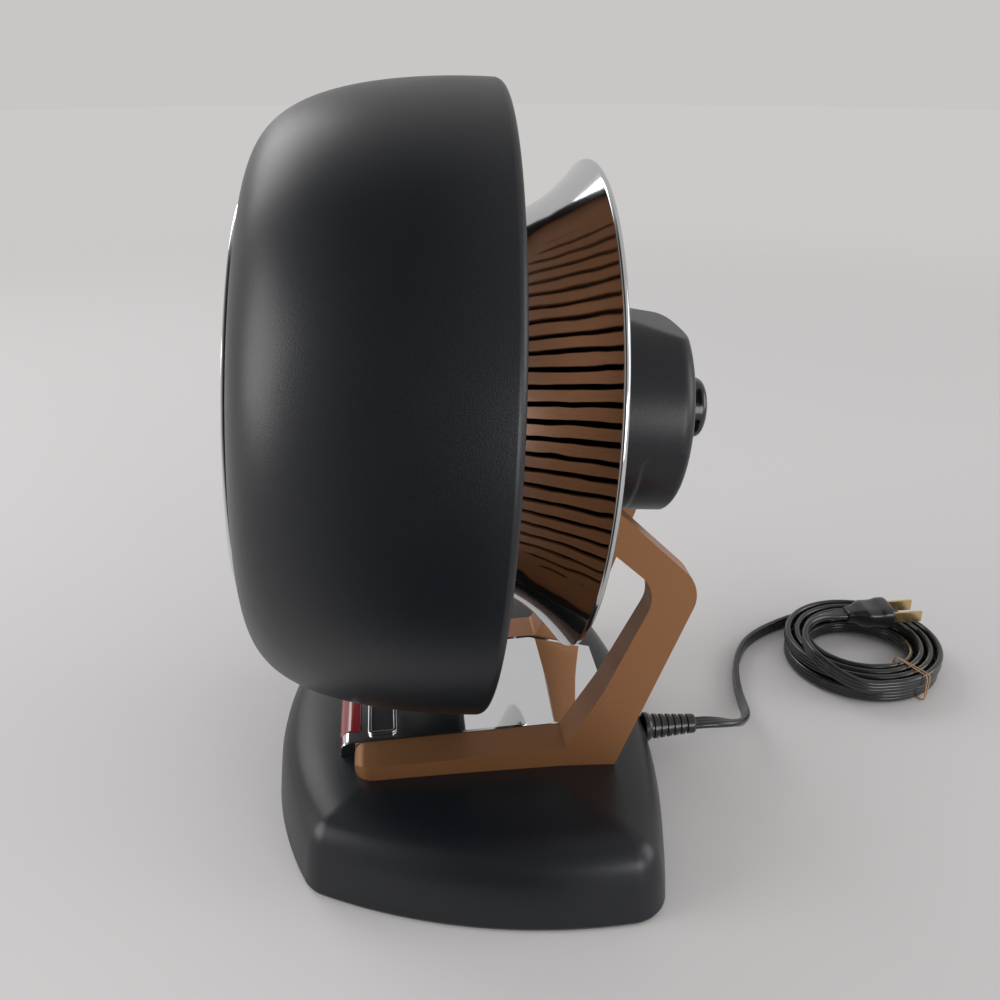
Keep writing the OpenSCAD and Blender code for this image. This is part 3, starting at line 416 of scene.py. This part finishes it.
gland_seat, flange_t = 77.4, 2.6
flange_r, neck_r, tip_r = 7, 6.2, 4.5
rib_count, rib_depth = 6, 0.9
rib_step = (gland_end - gland_seat - flange_t - 3) / rib_count
first_groove, groove_w, groove_side = 0.8, 1.6, 0.3


def cone_r(station):
    """The sleeve's radius, which narrows towards its tip."""
    share = (station - gland_seat - flange_t) / (gland_end - gland_seat - flange_t)
    return neck_r + (tip_r - neck_r) * share


relief = [(0, gland_seat), (flange_r - 0.5, gland_seat), (flange_r, gland_seat + 0.5)]
relief += [(flange_r, gland_seat + flange_t - 0.6), (flange_r - 0.6, gland_seat + flange_t)]
for rib in range(rib_count):
    start = gland_seat + flange_t + first_groove + rib * rib_step
    end = start + groove_w
    relief += [(cone_r(start), start), (cone_r(start) - rib_depth, start + groove_side)]
    relief += [(cone_r(end - groove_side) - rib_depth, end - groove_side), (cone_r(end), end)]
relief += [(tip_r + 0.2, gland_end - 0.9), (tip_r - 0.5, gland_end), (0, gland_end)]
gland_place = STAND @ Matrix.Translation((gland_x, 0, gland_z))
gland = made("strain_relief", spun(relief, 48, False), vinyl, "base", "cord_black", gland_place)
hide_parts("cord_gland")


# Plug. A moulded block with a waisted grip and two flat brass blades.
# It lies on the coil with its flats up and down.
def skinned(rings):
    """Joins a row of rings with as many points each, and closes both ends."""
    bm = bmesh.new()
    loops = []
    for ring in rings:
        dots = [bm.verts.new(point) for point in ring]
        loops.append([bm.edges.new(pair) for pair in zip(dots, dots[1:] + dots[:1])])
    for here, there in zip(loops, loops[1:]):
        bmesh.ops.bridge_loops(bm, edges=here + there)
    for end in (loops[0], loops[-1]):
        bmesh.ops.edgeloop_fill(bm, edges=end)
    return bm


def oblong(width, height, station, squareness=4, steps=40):
    """A rounded oblong across the Y axis."""
    ring = []
    for step in range(steps):
        c, s = cos(tau * step / steps), sin(tau * step / steps)
        x = width * abs(c) ** (2 / squareness) * (1 if c > 0 else -1)
        z = height * abs(s) ** (2 / squareness) * (1 if s > 0 else -1)
        ring.append((x, station, z))
    return ring


plug_sections = [
    (0, 4.4, 3.2), (0.3, 4.8, 3.6), (4.6, 5.2, 3.9), (5.6, 6.4, 4.6), (8, 7.6, 5.4), (10, 8.9, 5.9),
    (12.4, 9.4, 5.2), (17.6, 9.4, 5.2), (19.4, 9.9, 6.0), (22, 10, 6.4), (25.4, 10, 6.4), (26, 9.4, 5.8),
]
plug_mesh = skinned([oblong(width, height, station) for station, width, height in plug_sections])
plug_place = STAND @ Matrix.Translation((tail_route[-1][0], plug_start, plug_z))
plug = made("plug", plug_mesh, vinyl, "base", "cord_black", plug_place, sharp=50)
grip_subsurf = plug.modifiers.new("smooth_grip", "SUBSURF")
grip_subsurf.levels = 1
grip_subsurf.render_levels = 1
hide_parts("plug_body")


def dressed(finish, *nodes):
    """Gives the frame's own pieces their finish."""
    for node in nodes:
        for holder in frame["nodes"][node].material_slots:
            holder.material = finish.material


def metal(name, colour, roughness, rub=(1, 1, 1), rub_size=0.001, rub_depth=0.000004, **plain):
    """A bare metal with faint rub marks and smudges."""
    finish = Finish(name, Metallic=1.0, **plain)
    marks = finish.noise(rub_size, 3, rub)
    smudge = finish.noise(0.02, 3)
    finish.set({
        "Base Color": finish.blend(smudge, shade(colour, 0.93), shade(colour, 1.0)),
        "Roughness": roughness * 0.8 + roughness * 0.25 * marks + roughness * 0.3 * smudge,
        "Normal": finish.bump(marks, rub_depth),
    })
    return finish


brass = metal("brass", (0.76, 0.56, 0.27), 0.24, rub=(1, 0.08, 1))
dressed(brass, "plug_blades")

# Coil band. One tan rubber band is stretched round the coil in two turns,
# which lie close together and cross on its outer side.
band_angle = radians(24)
band_in_r, band_out_r = 24.1, 46.65
band_low, band_high = 0.47, 16.65
band_corner, band_strand_r, band_swing = 2.2, 0.35, 1.15
band_corner_steps, band_step, band_sides = 6, 1.2, 10
band_middle = ((band_in_r + band_out_r) / 2, (band_low + band_high) / 2)
band_half = ((band_out_r - band_in_r) / 2 - band_corner, (band_high - band_low) / 2 - band_corner)


def band_outline():
    """The band's round-cornered path in its upright plane, from the outer side's middle."""
    path = []
    for quarter, (side_r, side_z) in enumerate([(1, 1), (-1, 1), (-1, -1), (1, -1)]):
        start = quarter * pi / 2
        for step in range(band_corner_steps + 1):
            angle = start + pi / 2 * step / band_corner_steps
            path.append((
                band_middle[0] + side_r * band_half[0] + band_corner * cos(angle),
                band_middle[1] + side_z * band_half[1] + band_corner * sin(angle),
            ))
    path.append(path[0])
    fine = []
    for here, there in zip(path, path[1:]):
        steps = max(1, round((Vector(there) - Vector(here)).length / band_step))
        fine += [Vector(here).lerp(Vector(there), step / steps) for step in range(steps)]
    return fine


def merged(*parts):
    """Puts several meshes into one."""
    whole = bmesh.new()
    for part in parts:
        loose = bpy.data.meshes.new("loose")
        part.to_mesh(loose)
        part.free()
        whole.from_mesh(loose)
        bpy.data.meshes.remove(loose)
    return whole


tan_rubber = Finish("tan_rubber", Roughness=0.55)
tan_shade = (0.50, 0.30, 0.15, 1)
tan_rubber.set({
    "Base Color": tan_rubber.blend(tan_rubber.noise(0.002, 3), shade(tan_shade, 0.75), tan_shade),
    "Normal": tan_rubber.bump(tan_rubber.noise(0.0004), 0.00003),
})
band_turn = [tau * side / band_sides for side in range(band_sides)]
band_ring = [(band_strand_r * cos(angle), band_strand_r * sin(angle)) for angle in band_turn]
band_across = Vector((-sin(band_angle), cos(band_angle), 0))
band_out = Vector((cos(band_angle), sin(band_angle), 0))
band_cross = 0.35
band_turns = []
outline = band_outline()
for side in (-1, 1):
    strand = []
    for count, (radius, height) in enumerate(outline):
        swing = side * band_swing * cos(tau * (count / len(outline)) - band_cross)
        strand.append(Vector((coil_x, coil_y, height)) + band_out * radius + band_across * swing)
    band_turns.append(swept(strand, band_ring, [0] * len(strand), closed=True))
band = made("coil_tie", merged(*band_turns), tan_rubber, "base", "band_tan", sharp=60)
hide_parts("coil_band")

# Base shell. A heavy moulded housing in charcoal plastic with a fine satin grain.
# Its plan bulges on all four sides, and its top is domed. A shallow pocket takes the arms' feet
# and a channel through it takes the deck.
base_discs = [((0, 86), 184), ((-118, 38), 230), ((0, -279), 360), ((118, 38), 230)]
base_corner_r = 17
base_dome = [
    (2.2, 20, 0), (4.2, 26.4, 0), (7, 30.4, 0), (11, 33.2, 0), (19, 35.4, 0), (33, 36.7, 0), (48, 37.4, 0),
]
base_foot = [(0.7, 1.0), (0, 2.4), (0.9, 10)]
base_inside = [(3.2, 1.0), (3.2, 10), (4.9, 20), (9, 28), (15, 31), (48, 31.4)]
base_side_steps, base_corner_steps, base_least_bend = 20, 14, 5
pocket_half, pocket_front, pocket_back, pocket_z, pocket_corner = 55.2, -60.2, 54.4, 34, 9
channel_half, channel_front, channel_back = 37, -66.2, 60.2
cut_top = 60


def arc(centre, radius, start, end, steps, height):
    """Points on an arc between two directions, without its last one."""
    first = atan2(start.y, start.x)
    sweep = (atan2(end.y, end.x) - first) % tau
    angles = [first + sweep * step / steps for step in range(steps)]
    return [(centre.x + radius * cos(a), centre.y + radius * sin(a), height) for a in angles]


def base_ring(inset, height):
    """One level of the base: the common part of four discs, with round corners."""
    bend = max(base_corner_r - inset, base_least_bend)
    discs = [(Vector(centre), radius - inset) for centre, radius in base_discs]
    turns = []
    for (near, near_r), (far, far_r) in zip(discs, discs[1:] + discs[:1]):
        meets = geometry.intersect_sphere_sphere_2d(near, near_r - bend, far, far_r - bend)
        turns.append(max(meets, key=lambda spot: -spot.dot(near + far)))
    ring = []
    for side, (centre, radius) in enumerate(discs):
        after = discs[(side + 1) % len(discs)][0]
        here, there = turns[side - 1], turns[side]
        ring += arc(centre, radius, here - centre, there - centre, base_side_steps, height)
        ring += arc(there, bend, there - centre, there - after, base_corner_steps, height)
    return ring


def carved(bm, tool, operation="DIFFERENCE"):
    """Cuts one bmesh with another and gives back the result."""
    pair = []
    for part in (bm, tool):
        bmesh.ops.recalc_face_normals(part, faces=part.faces)
        holder = bpy.data.objects.new("part", bpy.data.meshes.new("part"))
        part.to_mesh(holder.data)
        part.free()
        scene.collection.objects.link(holder)
        pair.append(holder)
    cut = pair[0].modifiers.new("cut", "BOOLEAN")
    cut.solver = "EXACT"
    cut.operation = operation
    cut.object = pair[1]
    bpy.context.view_layer.update()
    shaped = bpy.data.meshes.new_from_object(pair[0].evaluated_get(bpy.context.evaluated_depsgraph_get()))
    result = bmesh.new()
    result.from_mesh(shaped)
    for mesh in (shaped, pair[0].data, pair[1].data):
        bpy.data.meshes.remove(mesh)
    return result


def block(low, high, corner=0.0):
    """A box between two corners, with its upright edges rounded."""
    bm = bmesh.new()
    bmesh.ops.create_cube(bm, size=1)
    low, high = Vector(low), Vector(high)
    bmesh.ops.scale(bm, vec=high - low, verts=bm.verts)
    bmesh.ops.translate(bm, vec=(low + high) / 2, verts=bm.verts)
    if corner:
        upright = [e for e in bm.edges if abs(e.verts[0].co.z - e.verts[1].co.z) > 0.1]
        bmesh.ops.bevel(
            bm, geom=upright, offset=corner, offset_type="OFFSET", segments=10, profile=0.5,
            affect="EDGES", material=-1,
        )
    return bm


def moulded(name, colour, roughness, grain=0.0005, depth=0.00005, cloud=0.1, **plain):
    """Moulded or painted plastic with a satin grain and a slight cloudiness."""
    finish = Finish(name, **plain)
    speck = finish.noise(grain, 2)
    haze = finish.noise(0.035, 3)
    finish.set({
        "Base Color": finish.blend(speck ** 2, shade(colour, 0.75), shade(colour, 1.6)),
        "Roughness": roughness - cloud / 2 + cloud * haze + 0.06 * speck,
        "Normal": finish.bump(speck, depth),
    })
    return finish


shell_black = moulded("shell_black", (0.0038, 0.0054, 0.0080), 0.34)
rings = [base_ring(inset, height) for inset, height, _ in reversed(curved(base_dome, 3))]
rings = [base_ring(*base_dome[-1][:2])] + rings + [base_ring(*level) for level in reversed(base_foot)]
rings += [base_ring(*level) for level in base_inside]
base_mesh = skinned(rings)
pocket_low = (-pocket_half, pocket_front, pocket_z)
pocket_high = (pocket_half, pocket_back, cut_top)
base_mesh = carved(base_mesh, block(pocket_low, pocket_high, pocket_corner))
channel_low = (-channel_half, channel_front, pocket_z)
channel_high = (channel_half, channel_back, cut_top + 2)
base_mesh = carved(base_mesh, block(channel_low, channel_high))
base = made("base_housing", base_mesh, shell_black, "base", "shell_black", sharp=30)
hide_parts("base_shell")

# Base fittings. A steel floor plate is held by six screws and stands on four rubber feet.
# The tip-over switch, the terminal block and the lamp of the lens are mounted inside.
rubber = moulded("foot_rubber", (0.014, 0.014, 0.015), 0.8, grain=0.0008, depth=0.00008)
plate_steel = metal("plate_steel", (0.20, 0.205, 0.21), 0.42, rub=(1, 0.1, 1))
screw_steel = metal("screw_steel", (0.52, 0.53, 0.54), 0.28, rub=(1, 1, 0.1))
switch_blue = moulded("switch_blue", (0.020, 0.060, 0.13), 0.42)
block_white = moulded("block_white", (0.62, 0.60, 0.54), 0.45)
dressed(rubber, "rubber_feet")
dressed(plate_steel, "base_plate")
dressed(screw_steel, "plate_screws", "arm_screws")
dressed(switch_blue, "tip_switch")
dressed(block_white, "terminal_block", "lens_lamp")


# Deck. Chromed plastic, mirror bright: it rolls over in front, lies flat between the foot bars
# and slopes away behind a crease, with a thin raised lip along each side.
def extruded(corners, left, right, steps=8):
    """Draws a side outline of (y, z, corner radius) and extrudes it across."""
    bm = bmesh.new()
    dots = [bm.verts.new((left, y, z)) for y, z, _ in corners]
    bm.faces.new(dots)
    for here, dot in enumerate(dots):
        spot, radius = Vector(corners[here][:2]), corners[here][2]
        to_before = Vector(corners[here - 1][:2]) - spot
        to_after = Vector(corners[(here + 1) % len(corners)][:2]) - spot
        if radius:
            reach = radius / tan(to_before.angle(to_after) / 2)
            bmesh.ops.bevel(
                bm, geom=[dot], offset=reach, offset_type="OFFSET", segments=steps, profile=0.5,
                affect="VERTICES", material=-1,
            )
    grown = bmesh.ops.extrude_face_region(bm, geom=bm.faces[:])
    far_dots = [item for item in grown["geom"] if isinstance(item, bmesh.types.BMVert)]
    bmesh.ops.translate(bm, vec=(right - left, 0, 0), verts=far_dots)
    bmesh.ops.recalc_face_normals(bm, faces=bm.faces)
    return bm


def sliced(bm, point, normal):
    """Adds an edge loop where a plane crosses the mesh."""
    everything = bm.verts[:] + bm.edges[:] + bm.faces[:]
    bmesh.ops.bisect_plane(bm, geom=everything, plane_co=point, plane_no=normal, dist=0.0001)


deck_half, deck_top, deck_front, deck_back = 36.8, 46.5, -66, 60
deck_crease, deck_wall, deck_fall, deck_roll = 28, 1.6, 0.038, 4.2
lip_in, lip_mid, lip_rise = 1.5, 0.7, 0.55
lens_half, lens_back, lens_gap = 29, -57, 0.4
chrome = metal("chrome", (0.80, 0.81, 0.82), 0.045, rub_size=0.0008, rub_depth=0.0000015)
deck_mesh = extruded([
    (deck_front, pocket_z, 0), (deck_front, deck_top, deck_roll), (deck_crease, deck_top, 0),
    (deck_back, pocket_z + 3.6, 0), (deck_back, pocket_z, 0),
], -deck_half, deck_half)
for side in (-1, 1):
    for inset in (lip_in, lip_mid):
        sliced(deck_mesh, (side * (deck_half - inset), 0, 0), (1, 0, 0))
for dot in deck_mesh.verts:
    if abs(abs(dot.co.x) - deck_half + lip_mid) < 0.01 and dot.co.z > pocket_z + 3:
        dot.co.z += lip_rise
deck_mesh = carved(deck_mesh, extruded([
    (deck_front + deck_wall, pocket_z - 2, 0), (deck_front + deck_wall, deck_top - deck_roll, 0),
    (deck_front + 4.4, deck_top - deck_wall, 0), (deck_crease, deck_top - deck_wall, 0),
    (deck_back - deck_wall, pocket_z + 2, 0), (deck_back - deck_wall, pocket_z - 2, 0),
], deck_wall - deck_half, deck_half - deck_wall))
opening_low = (-lens_half, deck_front - 1, pocket_z + 3)
opening_high = (lens_half, lens_back, cut_top)
deck_mesh = carved(deck_mesh, block(opening_low, opening_high))


def fall(dot):
    """How far the deck has fallen at a point, from its crease towards its front."""
    share = min(1, max(0, (dot.co.z - pocket_z) / (deck_top - pocket_z)))
    return deck_fall * share * max(0, deck_crease - dot.co.y)


def leaned(bm):
    """Lets a mesh follow the deck's fall."""
    for dot in bm.verts:
        dot.co.z -= fall(dot)
    return bm


deck = made("deck_cover", leaned(deck_mesh), chrome, "base", "trim_chrome", sharp=24)
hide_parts("deck_tray")

# Badge. A raised frame of chromed plastic, with round corners, is pressed into the deck.
# It holds a thin dark plate, which is left bare.
badge_half, badge_front, badge_back, badge_border, badge_rise = 32.8, -54, -41, 1.6, 1.4
badge_corner, hole_corner, plate_corner, plate_gap = 2.4, 1.2, 1.0, 0.2
badge_low = (-badge_half, badge_front, deck_top)
badge_high = (badge_half, badge_back, deck_top + badge_rise)
hole_low = (badge_border - badge_half, badge_front + badge_border, deck_top - 1)
hole_high = (badge_half - badge_border, badge_back - badge_border, deck_top + 4)
frame_mesh = carved(block(badge_low, badge_high, badge_corner), block(hole_low, hole_high, hole_corner))
badge = made("badge_rim", leaned(frame_mesh), chrome, "base", "trim_chrome", soften=0.45)
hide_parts("badge_frame")
plate_dark = moulded(
    "badge_dark", (0.030, 0.031, 0.034), 0.16, grain=0.0012, depth=0.00001, Coat_Weight=0.6
)
plate_low = (hole_low[0] + plate_gap, hole_low[1] + plate_gap, deck_top - 0.1)
plate_high = (hole_high[0] - plate_gap, hole_high[1] - plate_gap, deck_top + 0.6)
plate_mesh = leaned(block(plate_low, plate_high, plate_corner))
bare_plate = made("bare_plate", plate_mesh, plate_dark, "base", "badge_grey")
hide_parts("badge_plate")

# Power lens. A polished moulding in clear red plastic wraps over the deck's front edge.
# It snaps into the deck's opening, above its lamp.
lens_red = Finish("lens_red", Coat_Weight=1.0, Coat_Roughness=0.03, Roughness=0.18)
red_shade = (0.30, 0.008, 0.014, 1)
red_depth = lens_red.noise(0.004, 2, (0.4, 1, 1))
lens_red.set({
    "Base Color": lens_red.blend(red_depth, shade(red_shade, 0.55), red_shade),
    "Normal": lens_red.bump(lens_red.noise(0.002), 0.00001),
})
lens_front, lens_low, lens_top, lens_roll = deck_front - 0.8, pocket_z + 3.4, deck_top + 0.6, 6
lens_mesh = extruded([
    (lens_front, lens_low, 0.8), (lens_front, lens_top, lens_roll),
    (lens_back - lens_gap, lens_top, 0.6), (lens_back - lens_gap, lens_low, 0),
], lens_gap - lens_half, lens_half - lens_gap, 10)
lens = made("signal_lens", leaned(lens_mesh), lens_red, "base", "lens_red", soften=0.5)
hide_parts("power_lens")

# Arms. Two bent arms in copper paint over moulded plastic. Each runs along the deck as a foot
# bar, rises behind it, and turns forward at the elbow to carry the head on its pivot.
arm_in, arm_out, arm_top_in = 37, 55, 43.6
draft_low, draft_high = 46.9, 112
arm_line = [
    (-60, 34, 0.5), (-60, 46.5, 5), (31.5, 46.5, 2), (47.3, 75, 90), (68, 122, 14),
    (13, 175.6, 7), (25, 188, 7), (44, 164.2, 30), (86.7, 122.7, 15), (53, 34, 0.5),
]
foot_bar_end, foot_bar_drop, foot_bar_low, foot_bar_flat = 29, 2.6, 40, 2
nose_front, nose_in_r, nose_out_r, nose_cuts = -60, 3, 9, 6
copper = Finish("arm_copper", Metallic=0.72, Coat_Weight=0.5, Coat_Roughness=0.4)
copper_shade = (0.34, 0.148, 0.054)
flake = copper.noise(0.00035, 1)
flow = copper.noise(0.03, 3)
copper.set({
    "Base Color": copper.blend(flake ** 2, shade(copper_shade, 0.72), shade(copper_shade, 1.5)),
    "Roughness": 0.40 + 0.1 * flow + 0.08 * flake,
    "Normal": copper.bump(flake, 0.00003),
})


def nose_inset(station, radius):
    """How far a side has curved in at a station near the nose."""
    depth = max(0, radius - (station - nose_front))
    return radius - sqrt(max(0, radius ** 2 - depth ** 2))


def arm_mesh():
    """The right arm: drawn in the side view, drafted, rounded at its nose and sloped on its foot."""
    bm = extruded(arm_line, arm_in, arm_out, 10)
    for height in (draft_low, draft_high):
        sliced(bm, (0, 0, height), (0, 0, 1))
    for step in range(1, nose_cuts + 1):
        station = nose_front + nose_out_r * (1 - cos(pi / 2 * step / nose_cuts))
        sliced(bm, (0, station, 0), (0, 1, 0))
    for dot in bm.verts:
        across = (dot.co.x - arm_in) / (arm_out - arm_in)
        rise = min(1, max(0, (dot.co.z - draft_low) / (draft_high - draft_low)))
        inner = arm_in + (arm_top_in - arm_in) * rise + nose_inset(dot.co.y, nose_in_r)
        outer = arm_out - nose_inset(dot.co.y, nose_out_r)
        dot.co.x = inner + (outer - inner) * across
        if dot.co.y < foot_bar_end:
            height = min(1, max(0, (dot.co.z - foot_bar_low) / (deck_top - foot_bar_low)))
            outward = max(0, dot.co.x - arm_in - foot_bar_flat) / (arm_out - arm_in)
            dot.co.z -= max(foot_bar_drop * height * outward, fall(dot))
    return bm


for side, node in ((1, "arm_right"), (-1, "arm_left")):
    shape = arm_mesh()
    bmesh.ops.scale(shape, vec=(side, 1, 1), verts=shape.verts)
    arm = made(node.replace("arm", "support_arm"), shape, copper, "base", "arm_copper", soften=0.9)
    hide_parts(node)
dressed(screw_steel, "pivot_bolts")

# Drum shell. The head's big moulded cover swells from its mouth to a straight wall,
# and its rear edge is rolled over.
axis = Vector(spin_joint["axis"])
HEAD = Matrix.Translation(head_centre) @ Vector((0, 1, 0)).rotation_difference(axis).to_matrix().to_4x4()
shell_r, shell_depth, shell_wall, mouth_r = 128, 94, 2.5, 80
side_power, face_power = 9, 1.85
rim_roll = 3.2


def shell_line(radius, depth, steps):
    """The shell's outline from its side wall to its mouth."""
    last = acos((mouth_r / radius) ** (side_power / 2))
    angles = [last * step / steps for step in range(steps + 1)]
    return [
        (radius * cos(a) ** (2 / side_power), -depth * sin(a) ** (2 / face_power)) for a in angles
    ]


inner_r = shell_r - shell_wall
roll = [radians(15 * step) for step in range(7)]
rim = [(inner_r + shell_wall * cos(a), 1 - rim_roll + rim_roll * sin(a)) for a in roll]
drum_line = list(reversed(shell_line(shell_r, shell_depth, 56)))[:-1] + rim
drum_line += shell_line(inner_r, shell_depth - shell_wall, 24)
drum = made("drum_cover", spun(drum_line, 240), shell_black, "head", "shell_black", HEAD)
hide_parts("drum_shell")

# Front. A chrome ring closes the mouth round the vaned grille, with a chrome cap at its middle.
# Behind them the duct holds the mica spokes and the coiled heating wire.
ring_line = [
    (77, 0.6), (77.4, 0.1), (78.2, 0), (80.4, 0), (81, 0.2), (81.2, 0.6), (81.2, 1.2), (79.8, 1.4),
    (79.8, 5), (77, 5),
]
ring_front = shell_line(shell_r, shell_depth, 1)[-1][1] - 1.5
ring_line = [(radius, ring_front + station) for radius, station in ring_line]
front_ring = made("mouth_ring", spun(ring_line, 200), chrome, "head", "trim_chrome", HEAD)
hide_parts("front_ring")
duct_steel = metal("duct_steel", (0.55, 0.56, 0.57), 0.32, rub=(1, 0.1, 1), rub_size=0.002)
mica = Finish("mica", Roughness=0.5, Specular_IOR_Level=0.6)
mica_flake = mica.node("TexVoronoi", {}, {"Vector": mica.place, "Scale": 400}, "Distance")
mica.set({
    "Base Color": mica.blend(mica_flake, (0.42, 0.33, 0.22, 1), (0.66, 0.56, 0.42, 1)),
    "Normal": mica.bump(mica_flake, 0.00005),
})
heater_wire = metal("heater_wire", (0.40, 0.34, 0.29), 0.38)
dressed(chrome, "front_grille", "grille_cap")
dressed(duct_steel, "air_duct")
dressed(block_white, "thermal_cutout")
dressed(mica, "element_spokes")
dressed(heater_wire, "element_wire")

# Fan and guard. A moulded fan is held on the motor's steel shaft by a nut.
# A guard of fine moulded bars covers the way in behind it, and washers space the head's pivots.
fan_black = moulded("fan_black", (0.013, 0.0135, 0.014), 0.48)
dressed(fan_black, "fan", "rear_guard", "pivot_washers")
dressed(screw_steel, "fan_nut", "motor_shaft", "motor_can")

# Inlet ring. A pressed ring in copper paint fills the drum's back round the bell,
# and its long slots let air into the head.
# The ring's copper is painted darker than the arms' copper: painted shade for the shadow it sits in inside
# the drum.
ring_copper = Finish("ring_copper", Metallic=0.55)
ring_tone_with_painted_shade = (0.20, 0.082, 0.031)
ring_flake = ring_copper.noise(0.0004, 1)
ring_copper.set({
    "Base Color": ring_copper.blend(ring_flake ** 2, shade(ring_tone_with_painted_shade, 0.75), shade(ring_tone_with_painted_shade, 1.4)),
    "Roughness": 0.42 + 0.12 * ring_copper.noise(0.03, 3),
    "Normal": ring_copper.bump(ring_flake, 0.00003),
})
dressed(ring_copper, "inlet_ring")

# Rear bell. Chromed plastic flares from the duct to a turned-out rim with a round bead.
# It mirrors the inlet ring, and its plating is a little hazy away from its middle.
bell_root_r, bell_flare, bell_power = 76, 20, 2.8
bell_start, bell_length, bell_wall, bell_steps = -14, 47, 2.2, 44
bead_r, bead_seat_r, bead_seat = 1.5, 99.5, 37.8
bead_start, bead_step, bead_dots = -62, 10, 27
bead_turn = [radians(bead_start + bead_step * dot) for dot in range(bead_dots)]
bell_rim = [(bead_seat_r + bead_r * cos(a), bead_seat + bead_r * sin(a)) for a in bead_turn]


def bell_r(share):
    """The bell's outer radius at a share of its length."""
    return bell_root_r + bell_flare * share ** bell_power


shares = [step / bell_steps for step in range(bell_steps + 1)]
bell_line = [(bell_r(t), bell_start + bell_length * t) for t in shares] + bell_rim
bell_line += [
    (bell_r(t) - bell_wall, bell_start + (bell_length + bell_wall / 2) * t) for t in reversed(shares[::2])
]
bell_chrome = Finish("bell_chrome", Metallic=1.0)
bell_wave = bell_chrome.noise(0.016, 1)
bell_smear = bell_chrome.noise(0.006, 4)
haze_start, haze_end = 0.035, 0.065
bell_height = bell_chrome.node("SeparateXYZ", {}, {"Vector": bell_chrome.place}, "Z")
bell_offset = (bell_height - head_centre.z * MM).maths("ABSOLUTE")
bell_haze = bell_chrome.ramp(bell_offset, haze_start, haze_end)
bell_chrome.set({
    "Base Color": bell_chrome.blend(bell_smear, (0.58, 0.59, 0.605, 1), (0.66, 0.67, 0.68, 1)),
    "Roughness": 0.03 + 0.07 * bell_smear ** 3 + 0.045 * bell_haze,
    "Normal": bell_chrome.bump(bell_wave, 0.00022),
})
bell = made("flared_bell", spun(bell_line, 256), bell_chrome, "head", "trim_chrome", HEAD)
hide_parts("rear_bell")

# Motor housing and rear cap. Both are moulded in the shell's black. The housing carries the
# motor and the pivots. The cap has a sloped flat on top and sides that are set back below.
dressed(shell_black, "motor_housing")
dressed(screw_steel, "cap_screws")
cap_r, cap_front, cap_end, cap_round, cap_wall = 43.8, 41, 82, 6, 2.2
flat_start, flat_drop, flat_soft = 50, 6.7, 0.9
recess_front, recess_top, recess_slope, recess_corner = 61.8, -6, 0.17, 4
recess_depth, recess_soft = 0.8, 1.1
cap_steps, cap_rows = 480, 44


def cap_ring(radius, station, inset):
    """One round of the cap, cut by the flat and drawn in at the recess."""
    roof = cap_r - inset - flat_drop * (station - flat_start) / (cap_end - flat_start)
    ring = []
    for step in range(cap_steps):
        c, s = cos(tau * step / cap_steps), sin(tau * step / cap_steps)
        into = station - recess_front
        under = recess_top + recess_slope * into - radius * s
        depth = min(into, under)
        if 0 < recess_corner - into and 0 < recess_corner - under:
            depth = recess_corner - sqrt((recess_corner - into) ** 2 + (recess_corner - under) ** 2)
        share = min(1, max(0, depth / recess_soft + 0.5))
        near = min(radius, cap_r - inset - recess_depth * share ** 2 * (3 - 2 * share))
        high = near * s
        high = (high + roof - sqrt((high - roof) ** 2 + flat_soft ** 2)) / 2
        ring.append((near * c, station, high))
    return ring


def cap_skin(inset, front):
    """Rounds from the cap's open front to the middle of its end."""
    length = cap_end - cap_round - front
    rows = [(cap_r - inset, front + length * step / cap_rows) for step in range(cap_rows)]
    bend = cap_round - inset
    turn = [radians(9 * step) for step in range(11)]
    rows += [(cap_r - cap_round + bend * cos(a), cap_end - cap_round + bend * sin(a)) for a in turn]
    rows += [(radius, cap_end - inset) for radius in (30, 16, 5)]
    return [cap_ring(radius, station, inset) for radius, station in rows]


cap_rings = list(reversed(cap_skin(cap_wall, cap_front))) + cap_skin(0, cap_front)
cap = made("rear_cover", skinned(cap_rings), shell_black, "head", "shell_black", HEAD, sharp=40)
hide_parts("rear_cap")

# Controls. A round knob turns the thermostat and a rocker below it sets the heat.
# Six finger scoops run along the knob's side and end in an arch behind its smooth rim.
knob_black = moulded(
    "knob_black", (0.006, 0.0065, 0.007), 0.2, grain=0.002, depth=0.00001, Coat_Weight=0.4
)
knob_scoops, scoop_depth, scoop_turn, knob_height, knob_steps = 6, 1.9, radians(20), 1.8, 240
knob_sections = [
    (9, 82.8, 0), (12.6, 82.8, 0), (13, 83.2, 0), (13, 84.2, 0), (13, 84.8, 0.6), (13, 85.6, 0.95),
    (13, 87, 1), (13, 89.4, 1), (13, 90.6, 0.93), (13, 91.6, 0.75), (13, 92.4, 0.4), (13, 92.9, 0.08),
    (13, 93.3, 0), (12.8, 94.3, 0), (12.2, 95.3, 0), (11.2, 96.0, 0), (9.8, 96.3, 0), (3, 96.3, 0),
]
knob_rings = []
for radius, station, scooped in knob_sections:
    ring = []
    for step in range(knob_steps):
        a = tau * step / knob_steps
        share = min(1, max(0, 0.35 + 1.2 * cos(knob_scoops * (a + scoop_turn))))
        near = radius - scoop_depth * scooped * share ** 2 * (3 - 2 * share)
        ring.append((near * cos(a), station, near * sin(a)))
    knob_rings.append(ring)
spindle_start, spindle_end, spindle_r = 70, 83, 3
spindle_line = [(0, spindle_start), (spindle_r - 0.4, spindle_start), (spindle_r, spindle_start + 0.5)]
spindle = spun(spindle_line + [(spindle_r, spindle_end), (0, spindle_end)], 48, False)
knob_place = HEAD @ Matrix.Translation((0, 0, knob_height))
knob_mesh = merged(skinned(knob_rings), spindle)
knob = made("round_knob", knob_mesh, knob_black, "knob", "knob_black", knob_place, sharp=40)
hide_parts("control_knob")
dressed(knob_black, "rocker_switch", "rocker_frame")
dressed(brass, "thermostat")
